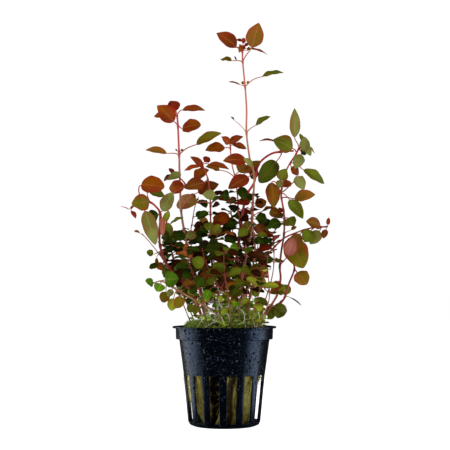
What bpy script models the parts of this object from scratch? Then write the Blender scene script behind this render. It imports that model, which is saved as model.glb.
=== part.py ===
"""A red and green marsh plant rooted in rock wool, in a black net pot.

Metres, +Z up. The origin is the centre of the pot's flat base, and the plant's front looks along -Y.
The pot is turned from its profile, the wool is a tapered plug with a socket for every stem, and each
stem is a four-angled tube with its small leaves grown on it. The largest leaves are pieces of their own.
"""
import bisect
import math
import random

import bmesh
import bpy
from mathutils import Vector
from mathutils.bvhtree import BVHTree

MM = 0.001
UP = Vector((0.0, 0.0, 1.0))
FRONT = Vector((0.0, -1.0, 0.0))
RIGHT = Vector((1.0, 0.0, 0.0))

# Pot: a standard 5 cm net pot. Lengths in millimetres.
RIM_RADIUS = 28.0
POT_HEIGHT = 53.0
SLOT_COUNT = 14
SLOT_SHARE = 0.568              # share of a pitch that is open
FIRST_SLOT_TURN = 11.0          # degrees from the front, towards +X
POT_OUTSIDE = (                 # radius and height, base to rim
    (16.5, 0.0), (18.6, 0.8), (19.4, 2.5), (21.9, 27.5), (24.4, 46.2),
    (26.1, 46.2), (26.3, 52.1), (RIM_RADIUS, 52.1), (RIM_RADIUS, POT_HEIGHT),
)
POT_INSIDE = (                  # radius and height, rim to floor
    (25.4, POT_HEIGHT), (25.2, 47.1), (23.5, 46.9), (21.0, 27.5), (18.5, 2.5), (17.4, 1.2),
)
SLOT_LOW_OUT, SLOT_HIGH_OUT = 2, 3      # places in POT_OUTSIDE between which the slots are open
SLOT_HIGH_IN, SLOT_LOW_IN = 3, 4        # the same places in POT_INSIDE

# Rock wool: centre x, radius and height of its rings, floor to shoulder.
WOOL_SIDES = 18
WOOL_RINGS = ((-1.0, 13.0, 1.5), (-1.0, 15.3, 6.0), (-1.5, 19.0, 27.5), (-0.5, 21.2, 44.0))
WOOL_TOP_RINGS = ((-0.3, 21.8), (0.0, 14.5), (0.0, 7.0))
WOOL_TOP = 50.2
WOOL_WAVE = 0.5
MOUND_HEIGHT = 6.0
MOUND_RIGHT_END = -3.0          # x at which the mound sets in, rising towards the left
MOUND_MIDDLE = -2.0             # y of its middle
MOUND_HALF_DEPTH = 17.0
MOUND_SLOPE = 6.0
SOCKET_GAP = 0.35
FOOT_LENGTH = 12.5              # straight foot of a stem, from inside the wool to just above it

# Stems and leaves.
STEM_BASE_RADIUS = 0.72
STEM_TIP_RADIUS = 0.45
NODE_LENGTH = 0.9               # stretch of stem that carries one or two leaf stalks
NODE_SPACE = 0.3
RING_STEP = 15.0                # longest bare stretch between two rings
STALK_RADIUS = 0.38
LEAF_THICKNESS = 0.5
LEAF_FOLD = 0.10                # how far the edges rise, as a share of the width
LEAF_BOW = 0.07                 # how far the middle rises, as a share of the length
PIECE_GAP = 0.35
LOWEST_LEAF = 54.5
DEPTH_TRIES = (0, -3, 3, -6, 6, -9, 9, -12, 12)
START_SHIFT = 0.4               # share of a leaf's move in depth that its start takes
SIDE_LEAN = 0.1                 # how far the blades turn to the right, where the light came from
STALK_CLEAR = 1.6               # a stalk is felt for from this far off the stem's middle
STALK_REACH = 0.5
STALK_LIFT = 0.25               # least height of a blade's start above the side that it grows from
STEEPEST_SLANT = 0.3
SHELL_STEP = 3.0
END_SPACE = 0.2

# Leaves that stand in pairs round a stem: ranges, and shares of a leaf's length.
PAIR_SEED = 12
PAIR_START = 1.8
PAIR_WIDTH = 0.72
PAIR_SIZES = (0.8, 1.15)
PAIR_SWINGS = (0.0, 0.5, -0.5, 1.0)
PAIR_RISE = (0.0, 0.5)
PAIR_TIP_RISE = (-0.5, 0.1)
PAIR_FACINGS = (20, 75)

# Surfaces.
POT_ROUGHNESS = 0.35
WOOL_ROUGHNESS = 0.9
STEM_ROUGHNESS = 0.45
LEAF_ROUGHNESS = 0.4
SHARP_ANGLE = 35                # degrees

# The view that stems and leaves are traced in: an eye in front of the plant, looking slightly up.
# A place is a column and row of that view with a depth in millimetres, positive away from the eye.
EYE = Vector((0.33, -600.0, 73.6))
VIEW_FOCAL = 1107.0
VIEW_MIDDLE = 225.0
VIEW_PITCH = math.atan2(63.0, VIEW_FOCAL)
VIEW_AHEAD = Vector((0.0, math.cos(VIEW_PITCH), math.sin(VIEW_PITCH)))
VIEW_UP = Vector((0.0, -math.sin(VIEW_PITCH), math.cos(VIEW_PITCH)))

# Stem routes: column, row, depth. Row 338 lies inside the wool.
STEMS = {
    "tall": ((233, 338, -4), (236, 318, -5), (241.5, 301, -6), (241.5, 285, -5), (244, 266, -4),
             (247.5, 248, -2), (251.5, 229, 0), (252.3, 210, 1), (254, 186, 2), (253.8, 172, 2),
             (250, 160, 2), (246.5, 133, 1), (246.6, 110, 1), (245.1, 87, 0), (242.7, 62, 0),
             (242.4, 50.5, 0)),
    "left_tall": ((214, 338, 6), (209, 318, 8), (202, 295, 10), (194, 270, 12), (188, 250, 12),
                  (184, 230, 10), (181, 210, 8), (180, 185, 6), (179.4, 168, 5), (179.1, 155, 4),
                  (177.9, 126, 2), (177, 115, 1)),
    "mid": ((240, 338, 9), (244, 318, 10), (246.5, 290, 10), (247, 265, 9), (244.5, 245, 8),
            (240.5, 230, 8), (238.5, 212, 9), (237.5, 195, 9), (235.2, 178, 8), (232.3, 166, 7),
            (230.8, 155, 7), (230.3, 145, 7)),
    "inner_mid": ((228, 338, 12), (230, 315, 14), (233, 290, 15), (233.4, 262, 14), (232.6, 236, 12),
                  (232, 222, 11), (230.8, 210, 10), (229.4, 197, 9)),
    "cluster": ((219, 338, -1), (217, 318, -2), (214, 295, -1), (212, 268, 0), (211, 240, 0),
                (210.5, 215, -1), (210.4, 204, -2), (209.6, 190, -3), (207.9, 179, -4), (205, 171, -5),
                (202, 164, -6)),
    "left_arch": ((207, 338, -7), (203, 322, -9), (197, 303, -11), (190, 290, -14), (180, 279.5, -17),
                  (171, 270, -19), (165.5, 262, -20), (160.5, 248, -21), (159.2, 233, -21),
                  (160.3, 219, -20), (159.8, 212, -20), (155.7, 206.4, -21), (150.2, 202.3, -23),
                  (142, 201.5, -26), (134, 205.5, -28), (131, 208, -29)),
    "left_red": ((206, 338, 3), (205, 322, 1), (200, 299, -2), (188.8, 287.4, -5), (183.2, 278.2, -6),
                 (176, 266, -7), (173.3, 258, -7), (170, 246, -6), (167.5, 238, -5), (166.5, 225, -4),
                 (168.5, 208, -2), (173.6, 193, 0), (180, 189, 1), (185.3, 186, 1), (183, 181, 2),
                 (177, 176, 2)),
    "left_pale": ((226, 338, -13), (222, 322, -16), (212, 310, -20), (200.1, 303.4, -24),
                  (190.3, 297.6, -27), (180.3, 291.6, -29), (169, 285.3, -30), (161.4, 281, -31),
                  (153.5, 283, -32)),
    "left_out": ((200, 338, 9), (193, 318, 11), (184, 297, 12), (174, 277, 11), (166, 264, 9),
                 (159, 254, 7), (152, 245, 5), (146, 238, 4), (141.9, 234, 3)),
    "right": ((247, 338, -3), (254.5, 323, -4), (265, 314.5, -6), (272, 304, -8), (277.5, 294, -9),
              (280.6, 279, -10), (279.8, 266.6, -10), (281.5, 250, -9), (283.8, 236, -8),
              (284.4, 219, -7), (283, 207, -6), (281.3, 197, -6), (281.5, 190, -5), (284, 178, -4),
              (287, 169, -3), (290.5, 162.6, -3), (296, 154, -3), (299, 148, -3)),
    "right_low": ((243, 338, -11), (247, 318, -14), (250, 295, -17), (256, 275, -19), (264.5, 259, -20),
                  (274, 247.5, -19), (281.5, 240, -17), (288, 236, -17), (303.5, 230, -16),
                  (313.5, 227.6, -15), (322, 227, -14), (328, 226.5, -14)),
    "right_arch": ((238, 338, 2), (238.5, 318, 2), (236.5, 295, 2), (236, 270, 3), (238.5, 245, 4),
                   (241.5, 220, 4), (244, 205, 4), (247.5, 193.4, 4), (253.8, 183.4, 6), (256, 174, 7),
                   (258.3, 165, 8), (264.3, 158.2, 8), (272.7, 153.2, 7), (280.4, 151.8, 6),
                   (288, 151, 5), (293.5, 151, 4)),
    "right_low2": ((251, 338, 4), (258, 322, 3), (269, 311, 1), (281.3, 301.8, -1), (285.1, 296.5, -2),
                   (289, 283.5, -3), (294.3, 269.7, -4), (292.8, 262, -4), (288, 250, -4),
                   (286, 243, -4)),
    "second": ((236, 338, -10), (238, 318, -11), (240.3, 304.4, -12), (246, 293, -12),
               (249.2, 285.7, -11), (252.2, 272.7, -9), (253.8, 259, -7), (254.9, 247, -6),
               (253.5, 232, -5), (252, 224, -5)),
    "cross": ((239, 338, -17), (239.5, 318, -19), (238, 304, -21), (231.7, 297.6, -22),
              (226, 293.5, -23), (219, 286, -24), (213.3, 278, -24), (208, 268, -24), (204, 257, -24),
              (202, 248, -23)),
    "centre_red": ((222, 338, -9), (222, 318, -10), (219.6, 301.6, -11), (218.5, 293, -12),
                   (216.2, 283.8, -13), (214.5, 270, -14), (214, 255, -14), (216, 242, -14),
                   (218, 232, -13)),
    "left_inner": ((211, 338, 12), (207, 318, 14), (201, 295, 16), (195, 272, 17), (191.5, 250, 17),
                   (191, 230, 16), (192.2, 222.8, 15), (194.7, 207.4, 13), (198.5, 197, 12)),
    "back_left": ((205, 338, 15), (200, 315, 19), (192, 290, 24), (185, 268, 28), (181, 250, 31),
                  (180, 236, 32)),
    "back_mid": ((222, 338, 17), (220, 315, 22), (217, 290, 27), (213, 265, 31), (211, 242, 33),
                 (212, 226, 34)),
    "back_right": ((240, 338, 16), (246, 315, 21), (252, 290, 27), (256, 265, 31), (258, 243, 33),
                   (258, 226, 33)),
    "right_back": ((250, 338, 11), (259, 316, 15), (267, 295, 19), (273, 272, 22), (274, 250, 24),
                   (272, 232, 25)),
    "front_left": ((211, 338, -12.5), (206, 318, -17), (202, 298, -20), (195, 280, -25), (189, 262, -29),
                   (186, 248, -31)),
    "front_mid": ((231, 338, -17), (231, 320, -22), (229, 302, -27), (226, 284, -31), (224, 266, -34),
                  (224, 252, -35)),
    "front_right": ((247, 338, -13), (252, 318, -18), (257, 300, -23), (262, 283, -27),
                    (266, 268, -30), (268, 256, -31)),
    "left_back": ((197, 338, 1), (188, 316, 3), (180, 297, 4), (172, 284, 3), (165, 272, 1),
                  (160, 262, 0)),
    "far_right": ((253, 338, -9), (262, 318, -12), (268, 304, -14), (269.5, 292.6, -15),
                  (268.3, 275.8, -16), (268, 270, -15)),
    "right_side": ((282.5, 192, -6.5), (285.6, 189.6, -7), (293.6, 182, -8), (297.5, 178, -9)),
}
PALE_STEMS = ("tall", "left_tall", "left_pale", "left_out", "mid", "second", "far_right", "right_back")
UNROOTED = ("right_side",)

# Leaves, by stem. Each row: column and row on the stem; where the blade starts and where it ends, each
# a column, a row and a depth from the stem; width in millimetres; facing in degrees, 0 for a blade
# that lies flat, 90 for one that looks to the front; tint; and a name if the leaf is its own piece.
LEAVES = {
    "tall": (
        (242.7, 61.5, 251.5, 47.5, -3, 258.9, 22.5, -5, 9.8, 80, "olive", "leaf_top_right"),
        (242.4, 51.5, 236.3, 47.0, -1, 216.3, 33.0, -2, 9.2, 65, "red_brown", "leaf_top_left"),
        (242.4, 50.8, 249.5, 48.8, 3, 267.8, 55.0, 7, 3.6, 35, "red_brown", "leaf_top_side"),
        (242.4, 50.5, 242.0, 46.5, -3, 239.2, 52.6, -6, 3.2, 75, "red_brown"),
        (242.4, 49.5, 242.0, 41.2, 1, 235.6, 39.4, 3, 2.4, 60, "dark_red"),
        (242.6, 50.0, 244.5, 46.0, -1, 249.4, 43.4, -1, 2.2, 60, "dark_red"),
        (242.7, 62.3, 231.5, 60.8, 1, 220.0, 59.3, 3, 5.5, 40, "green_edged", "leaf_upper_left"),
        (245.3, 87.0, 262.0, 76.8, -2, 284.0, 72.8, -4, 6.5, 35, "green", "leaf_upper_right"),
        (245.3, 87.5, 240.5, 85.0, 1, 228.0, 81.8, 2, 1.8, 40, "red_brown"),
        (246.2, 131.5, 255.8, 125.3, -1, 270.6, 116.2, -3, 5.5, 40, "green", "leaf_tall_right"),
        (246.4, 131.5, 234.0, 120.0, 0, 230.5, 116.5, 0, 2.0, 30, "green"),
        (250.3, 161.5, 246.5, 161.0, -4, 223.0, 160.5, -7, 8.0, 60, "orange", "leaf_tall_front"),
        (252.0, 167.0, 252.5, 166.0, -9, 243.5, 158.5, -11, 4.2, 60, "grey_green"),
        (254.0, 174.0, 248.5, 177.0, -4, 228.3, 188.6, -9, 8.0, 65, "red_brown", "leaf_tall_brown"),
        (252.2, 216.5, 262.0, 211.5, 0, 275.0, 207.5, -2, 5.0, 30, "brown"),
        (252.2, 217.5, 248.0, 221.0, -2, 245.0, 237.7, -3, 5.5, 50, "green"),
        (251.8, 207.0, 255.5, 206.0, 2, 266.5, 201.0, 3, 6.5, 65, "brown"),
        (252.2, 213.0, 256.0, 217.5, 2, 267.5, 220.5, 4, 7.0, 70, "dark_green"),
        (252.2, 221.5, 256.0, 224.5, 3, 262.0, 233.0, 5, 6.5, 75, "brown"),
        (246.9, 250.0, 238.5, 248.0, -4, 230.0, 247.8, -6, 5.0, 60, "bright_green"),
        (244.5, 262.0, 232.0, 254.7, -3, 214.0, 248.5, -6, 7.5, 60, "dark_green"),
        (244.0, 264.5, 231.5, 259.5, -3, 219.5, 263.0, -6, 6.5, 50, "brown"),
        (241.5, 283.0, 239.5, 279.0, -2, 234.5, 286.3, -3, 4.0, 70, "bright_green"),
    ),
    "left_tall": (
        (177.9, 126.0, 174.0, 121.5, -3, 157.0, 105.5, -6, 10.0, 75, "red_brown", "leaf_left_crown_big"),
        (177.0, 115.5, 172.0, 115.5, 2, 153.6, 116.0, 5, 6.0, 55, "red_brown"),
        (177.0, 115.0, 176.0, 111.0, 2, 170.2, 100.5, 4, 7.5, 60, "dark_red", "leaf_left_crown_top"),
        (177.0, 115.5, 182.4, 109.8, 0, 205.4, 110.8, -2, 7.0, 42, "red_brown", "leaf_left_crown_right"),
        (178.0, 126.4, 182.4, 128.8, -3, 201.0, 125.0, -7, 8.4, 65, "orange", "leaf_left_crown_oblong"),
        (179.1, 155.5, 166.7, 153.3, -1, 145.5, 149.6, -3, 6.0, 45, "olive", "leaf_left_long_left"),
        (179.1, 155.5, 196.4, 144.5, -1, 221.6, 133.0, -3, 8.0, 45, "green_edged", "leaf_left_long_right"),
        (181.0, 210.0, 198.0, 192.5, -6, 219.0, 184.0, -9, 8.0, 65, "red_brown", "leaf_left_inner"),
        (184.0, 230.0, 185.0, 235.0, -2, 173.0, 238.5, -3, 7.0, 60, "dark_green"),
        (187.0, 245.0, 196.5, 234.0, -2, 186.0, 237.5, -4, 6.0, 60, "grey_green"),
        (188.0, 250.0, 193.0, 258.0, -3, 199.5, 266.5, -5, 6.0, 80, "green"),
    ),
    "left_red": (
        (185.2, 184.0, 184.5, 187.0, 2, 168.8, 188.5, 6, 8.0, 80, "orange"),
        (178.0, 176.5, 181.0, 173.5, -1, 167.2, 180.0, -3, 5.0, 60, "grey_green"),
        (177.0, 176.0, 173.5, 173.7, 2, 169.0, 168.0, 3, 3.0, 50, "dark_red"),
        (185.3, 186.0, 194.2, 178.3, -1, 209.0, 169.5, -3, 7.5, 55, "orange"),
        (167.5, 238.0, 169.5, 236.5, -3, 168.3, 222.7, -4, 4.5, 60, "green"),
        (166.5, 225.0, 170.5, 224.0, -1, 183.3, 217.4, -3, 4.5, 30, "green"),
        (168.0, 240.0, 165.5, 240.5, -4, 172.5, 243.0, -8, 6.0, 75, "dark_green"),
        (170.0, 246.0, 178.0, 247.5, -2, 192.0, 257.0, -5, 8.0, 75, "olive"),
    ),
    "left_arch": (
        (142.0, 201.5, 141.2, 185.0, -1, 164.6, 187.0, -3, 10.0, 70, "orange", "leaf_arch_dome"),
        (150.2, 202.3, 149.0, 202.0, -2, 131.5, 204.0, -5, 9.0, 85, "green_edged", "leaf_arch_round"),
        (131.5, 207.5, 128.7, 209.3, 0, 120.3, 206.5, -1, 2.0, 0, "red"),
        (132.0, 207.5, 131.3, 211.0, 0, 135.8, 218.3, -1, 3.0, 30, "red"),
        (160.0, 212.5, 162.5, 211.0, -2, 172.8, 192.3, -4, 7.0, 70, "grey_green", "leaf_arch_green"),
        (143.0, 201.5, 145.0, 211.0, -3, 155.6, 245.0, -5, 7.8, 80, "grey_green", "leaf_arch_hanging"),
        (160.0, 213.5, 158.5, 214.5, 2, 146.0, 222.0, 6, 8.5, 65, "dark_green"),
        (150.2, 202.5, 149.0, 192.0, 4, 165.0, 196.0, 6, 5.0, 60, "green"),
        (160.3, 216.0, 162.0, 217.5, -2, 162.4, 236.0, -2, 3.6, 40, "pink"),
    ),
    "cluster": (
        (210.4, 204.4, 197.0, 203.0, 5, 176.0, 203.5, 17, 9.5, 80, "olive", "leaf_cluster_olive"),
        (207.9, 179.0, 205.0, 183.0, -2, 184.3, 188.5, -5, 8.5, 60, "brown", "leaf_cluster_brown"),
        (210.4, 205.0, 216.0, 196.0, -5, 202.5, 194.5, -8, 6.0, 75, "grey_green"),
        (210.4, 206.5, 212.0, 203.0, -4, 220.0, 198.5, -8, 5.5, 70, "dark_green"),
        (202.5, 165.0, 203.0, 167.0, -2, 190.3, 156.5, -5, 4.6, 60, "red_brown"),
        (202.5, 165.0, 209.0, 164.0, -3, 229.4, 169.8, -5, 5.0, 45, "red_brown"),
        (202.0, 164.0, 204.5, 162.0, 2, 209.0, 157.0, 4, 4.5, 75, "dark_red"),
        (203.0, 166.5, 200.5, 166.5, 1, 184.0, 170.8, 3, 4.5, 40, "red_brown"),
        (210.5, 213.0, 208.0, 212.0, -2, 197.3, 219.5, -4, 5.0, 45, "dark_green"),
        (210.8, 228.0, 206.0, 223.0, -2, 212.0, 231.0, -5, 5.5, 70, "green"),
    ),
    "mid": (
        (235.2, 178.0, 219.8, 170.0, -6, 205.5, 166.5, -9, 6.0, 45, "brown"),
        (230.3, 145.6, 229.5, 143.5, -1, 243.5, 136.3, -3, 6.0, 50, "red_brown"),
        (230.3, 146.0, 229.0, 144.0, -4, 221.5, 136.5, -6, 5.0, 60, "red_brown"),
        (230.3, 146.5, 232.5, 145.0, 1, 246.6, 148.8, 2, 5.0, 50, "red_brown"),
        (230.2, 148.5, 224.8, 147.6, -2, 205.0, 150.3, -5, 7.5, 55, "orange", "leaf_mid_left"),
        (235.0, 177.0, 238.5, 172.0, 3, 246.0, 164.0, 6, 7.5, 80, "olive"),
        (235.3, 179.5, 246.0, 173.0, -2, 260.0, 160.5, -4, 6.0, 50, "brown"),
    ),
    "inner_mid": (
        (229.4, 197.0, 229.0, 196.5, -1, 219.8, 194.3, -4, 6.5, 80, "dark_green"),
        (231.0, 214.0, 228.0, 214.0, -3, 213.0, 226.0, -6, 7.5, 70, "orange"),
    ),
    "right_arch": (
        (280.4, 151.8, 275.0, 141.5, 2, 258.6, 140.8, 4, 5.0, 20, "red_brown"),
        (281.0, 152.0, 276.3, 161.5, -4, 259.5, 182.5, -8, 9.5, 85, "green", "leaf_arch_right_hanging"),
        (258.3, 165.0, 256.5, 168.0, -3, 251.5, 179.0, -5, 5.4, 70, "brown"),
        (247.5, 193.4, 240.5, 187.0, -3, 244.5, 200.5, -5, 6.0, 60, "dark_green"),
    ),
    "right": (
        (296.0, 153.0, 292.5, 148.3, -3, 273.3, 139.5, -6, 10.0, 80, "green", "leaf_right_crown_front"),
        (299.0, 148.0, 294.5, 137.5, -2, 294.5, 108.0, -3, 6.0, 85, "grey_green", "leaf_right_crown_up"),
        (299.0, 148.0, 304.0, 151.0, -3, 304.8, 136.5, -5, 6.0, 75, "grey_green"),
        (299.0, 148.0, 304.5, 146.5, -1, 311.0, 156.0, -2, 4.2, 60, "grey_green"),
        (299.0, 148.5, 306.0, 146.0, 2, 314.8, 153.5, 4, 3.6, 40, "grey_green"),
        (299.0, 149.0, 301.0, 154.5, -4, 294.8, 169.0, -7, 6.5, 75, "grey_green"),
        (290.5, 162.6, 303.5, 170.0, 1, 324.4, 184.0, 3, 7.0, 55, "green", "leaf_right_drooping"),
        (290.5, 162.6, 291.0, 167.0, 2, 298.5, 175.5, 4, 5.0, 70, "red_brown"),
        (282.0, 187.0, 271.5, 182.5, -3, 273.8, 208.0, -5, 8.0, 75, "brown"),
        (284.0, 178.0, 280.0, 180.0, -3, 286.5, 168.8, -6, 6.5, 75, "green"),
        (281.5, 190.0, 282.5, 187.0, 1, 291.0, 182.0, 3, 5.5, 55, "red_brown"),
        (281.3, 197.6, 294.5, 198.6, -2, 315.3, 194.5, -5, 7.5, 60, "olive", "leaf_right_olive"),
        (281.4, 192.5, 289.5, 199.8, -3, 303.0, 219.0, -6, 6.8, 75, "green", "leaf_right_green"),
        (284.4, 219.0, 288.0, 218.0, -2, 294.0, 226.0, -5, 6.5, 85, "green"),
        (284.4, 219.0, 282.0, 218.0, 2, 275.5, 214.5, 5, 5.5, 50, "green"),
        (279.8, 266.6, 288.0, 255.5, -5, 293.2, 237.8, -9, 7.0, 75, "pink"),
        (283.3, 211.0, 280.0, 213.0, 5, 269.0, 213.5, 8, 6.5, 65, "brown"),
        (284.4, 222.0, 280.5, 222.0, -2, 268.5, 226.5, -4, 6.5, 70, "dark_green"),
    ),
    "right_side": (
        (297.0, 178.5, 296.0, 176.5, -3, 303.8, 190.3, -5, 6.5, 70, "grey_green"),
    ),
    "right_low": (
        (322.0, 227.0, 320.5, 226.0, -1, 306.0, 221.7, -4, 7.0, 65, "brown"),
        (313.5, 227.6, 311.0, 230.5, -3, 304.5, 242.0, -6, 8.0, 85, "green"),
        (321.5, 227.0, 319.5, 231.0, -2, 310.0, 244.0, -5, 6.5, 80, "grey_green"),
        (327.5, 226.5, 327.8, 225.0, 0, 328.8, 217.5, 0, 2.2, 20, "red_brown"),
        (326.0, 227.0, 326.0, 229.5, -1, 323.0, 238.4, -2, 3.5, 50, "brown"),
        (303.5, 230.0, 300.0, 234.0, 2, 287.0, 255.5, 5, 8.0, 80, "olive"),
        (264.5, 259.0, 264.5, 262.0, -2, 273.5, 259.0, -4, 4.5, 60, "dark_green"),
    ),
    "right_low2": (
        (287.0, 246.0, 289.0, 238.5, -2, 303.4, 268.3, -5, 13.2, 85, "green_edged", "leaf_low_right_big"),
        (294.3, 269.7, 297.0, 272.5, -3, 307.0, 284.5, -6, 8.6, 85, "olive", "leaf_low_right_round"),
        (286.0, 294.0, 284.5, 295.0, 4, 284.5, 284.3, 8, 7.0, 85, "light_green"),
        (281.3, 301.8, 281.5, 303.5, -2, 277.5, 318.2, -5, 7.5, 85, "green"),
    ),
    "far_right": (
        (268.0, 276.0, 258.5, 276.5, -2, 261.3, 289.0, -4, 6.5, 85, "light_green"),
        (269.5, 292.6, 279.0, 281.5, -2, 272.5, 292.0, -4, 5.0, 60, "brown"),
    ),
    "second": (
        (253.8, 259.0, 256.5, 263.5, -1, 265.5, 277.3, -4, 8.0, 85, "olive"),
        (252.2, 224.0, 247.5, 230.0, -2, 238.0, 236.0, -4, 5.5, 60, "green"),
    ),
    "left_pale": (
        (161.4, 281.0, 165.0, 280.0, -2, 178.3, 278.5, -5, 8.5, 85, "bright_green",
         "leaf_low_left_green"),
        (154.0, 283.0, 153.0, 284.3, 0, 145.2, 281.0, -1, 5.0, 60, "bright_green"),
        (161.4, 281.0, 161.0, 284.0, -3, 157.5, 291.8, -6, 6.0, 75, "light_green"),
        (167.0, 284.5, 166.0, 292.0, -2, 163.0, 302.5, -4, 5.5, 85, "olive"),
        (178.0, 290.3, 173.7, 298.6, -2, 171.0, 310.6, -4, 5.5, 85, "light_green"),
        (183.0, 293.2, 182.0, 297.0, -2, 175.8, 308.0, -4, 5.5, 80, "olive"),
        (196.0, 301.0, 194.0, 305.0, -2, 188.5, 312.0, -3, 5.0, 60, "green"),
    ),
    "left_out": (
        (158.0, 252.5, 153.0, 254.5, 0, 146.6, 251.5, -1, 4.0, 70, "green"),
        (166.0, 264.0, 164.5, 265.0, -2, 157.0, 268.5, -4, 5.0, 70, "orange"),
        (142.3, 234.5, 139.5, 233.0, 0, 133.8, 231.0, 0, 2.8, 30, "olive"),
    ),
    "centre_red": (
        (217.2, 236.0, 214.0, 234.0, -2, 219.5, 224.5, -4, 6.0, 80, "green"),
        (214.3, 252.0, 208.0, 246.0, -2, 220.0, 245.5, -4, 7.5, 75, "dark_green"),
    ),
    "cross": (
        (209.0, 270.0, 212.5, 269.5, -2, 225.8, 268.0, -5, 7.5, 75, "green"),
        (204.5, 258.5, 203.0, 266.0, -2, 192.5, 259.0, -4, 7.0, 75, "green"),
        (212.0, 276.0, 203.0, 277.5, -2, 196.5, 285.5, -4, 6.5, 70, "dark_green"),
        (219.0, 286.0, 209.5, 290.0, -2, 205.0, 299.3, -4, 5.0, 80, "bright_green"),
    ),
}

# Small leaves that stand in pairs along a stem, each pair turned a quarter against the last:
# pairs, the stretch of stem as shares of its length, blade length in millimetres and tint.
PAIRS = {
    "back_left": (3, 0.48, 0.99, 9.0, "green"),
    "back_mid": (4, 0.40, 0.99, 9.0, "olive"),
    "back_right": (4, 0.40, 0.99, 9.0, "dark_green"),
    "right_back": (3, 0.45, 0.99, 9.0, "green"),
    "front_left": (3, 0.50, 0.99, 8.0, "dark_green"),
    "front_mid": (3, 0.48, 0.99, 8.0, "green"),
    "front_right": (3, 0.45, 0.82, 7.5, "light_green"),
    "left_back": (3, 0.45, 0.96, 5.8, "dark_green"),
    "left_inner": (3, 0.40, 0.98, 8.5, "dark_green"),
    "inner_mid": (3, 0.40, 0.85, 8.5, "dark_green"),
    "mid": (3, 0.35, 0.70, 8.5, "green"),
    "centre_red": (2, 0.60, 0.98, 7.5, "brown"),
    "second": (2, 0.55, 0.90, 7.5, "green"),
    "right_arch": (2, 0.35, 0.52, 8.0, "dark_green"),
    "cluster": (2, 0.40, 0.60, 8.0, "dark_green"),
    "left_tall": (2, 0.22, 0.34, 8.0, "green"),
    "tall": (1, 0.30, 0.36, 7.5, "green"),
    "right": (2, 0.20, 0.28, 6.5, "green"),
    "right_low2": (1, 0.32, 0.40, 6.0, "green"),
    "left_out": (1, 0.55, 0.70, 7.0, "green"),
}

# Colours of the leaves: red, green and blue.
TINTS = {
    "olive": (0.21, 0.14, 0.04),
    "red_brown": (0.22, 0.05, 0.02),
    "red": (0.36, 0.04, 0.03),
    "dark_red": (0.16, 0.02, 0.02),
    "orange": (0.38, 0.11, 0.03),
    "brown": (0.16, 0.08, 0.03),
    "green": (0.09, 0.17, 0.05),
    "green_edged": (0.12, 0.16, 0.04),
    "bright_green": (0.12, 0.30, 0.05),
    "light_green": (0.24, 0.28, 0.06),
    "dark_green": (0.03, 0.08, 0.03),
    "grey_green": (0.16, 0.20, 0.12),
    "pink": (0.42, 0.18, 0.15),
}
STEM_PALE = (0.55, 0.28, 0.20)
STEM_RED = (0.42, 0.06, 0.05)
POT_BLACK = (0.012, 0.014, 0.018)
WOOL_OLIVE = (0.16, 0.14, 0.05)

# Outlines of a blade: place along it and share of the full width there.
LARGE_BLADE = ((0.0, 0.10), (0.13, 0.62), (0.33, 0.99), (0.60, 0.90), (0.85, 0.50))
MIDDLE_BLADE = ((0.0, 0.10), (0.28, 0.96), (0.64, 0.86))
SMALL_BLADE = ((0.32, 0.96), (0.68, 0.80))


def spot(column, row, depth):
    """The place in millimetres that shows at a column and row, at a depth."""
    ray = VIEW_AHEAD.copy()
    ray.x += (column - VIEW_MIDDLE) / VIEW_FOCAL
    ray += VIEW_UP * ((VIEW_MIDDLE - row) / VIEW_FOCAL)
    return EYE + ray * ((depth - EYE.y) / ray.y)


def seen(place):
    """The column and row at which a place shows."""
    ray = place - EYE
    ahead = ray.dot(VIEW_AHEAD)
    column = VIEW_MIDDLE + VIEW_FOCAL * ray.x / ahead
    return column, VIEW_MIDDLE - VIEW_FOCAL * ray.dot(VIEW_UP) / ahead


class Path:
    """A smooth line through a few places, read by the length along it."""

    STEPS = 8

    def __init__(self, places):
        ends = [places[0] * 2 - places[1], *places, places[-1] * 2 - places[-2]]
        self.line = []
        for before, start, end, after in zip(ends, ends[1:], ends[2:], ends[3:]):
            for step in range(self.STEPS):
                t = step / self.STEPS
                bend = (before * 2 - start * 5 + end * 4 - after) * t * t
                twist = (start * 3 - before - end * 3 + after) * t * t * t
                self.line.append((start * 2 + (end - before) * t + bend + twist) / 2)
        self.line.append(places[-1])
        self.marks = [0.0]
        for start, end in zip(self.line, self.line[1:]):
            self.marks.append(self.marks[-1] + (end - start).length)
        self.length = self.marks[-1]

    def at(self, along):
        """The place at a length; the line goes straight on past its ends."""
        index = min(max(bisect.bisect_right(self.marks, along) - 1, 0), len(self.line) - 2)
        share = (along - self.marks[index]) / (self.marks[index + 1] - self.marks[index])
        return self.line[index].lerp(self.line[index + 1], share)

    def heading(self, along):
        return (self.at(along + 0.8) - self.at(along - 0.8)).normalized()

    def nearest(self, column, row):
        """The length at which the line shows nearest to a column and row."""
        def miss(index):
            across, down = seen(self.line[index])
            return (across - column) ** 2 + (down - row) ** 2
        return self.marks[min(range(len(self.line)), key=miss)]


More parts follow.
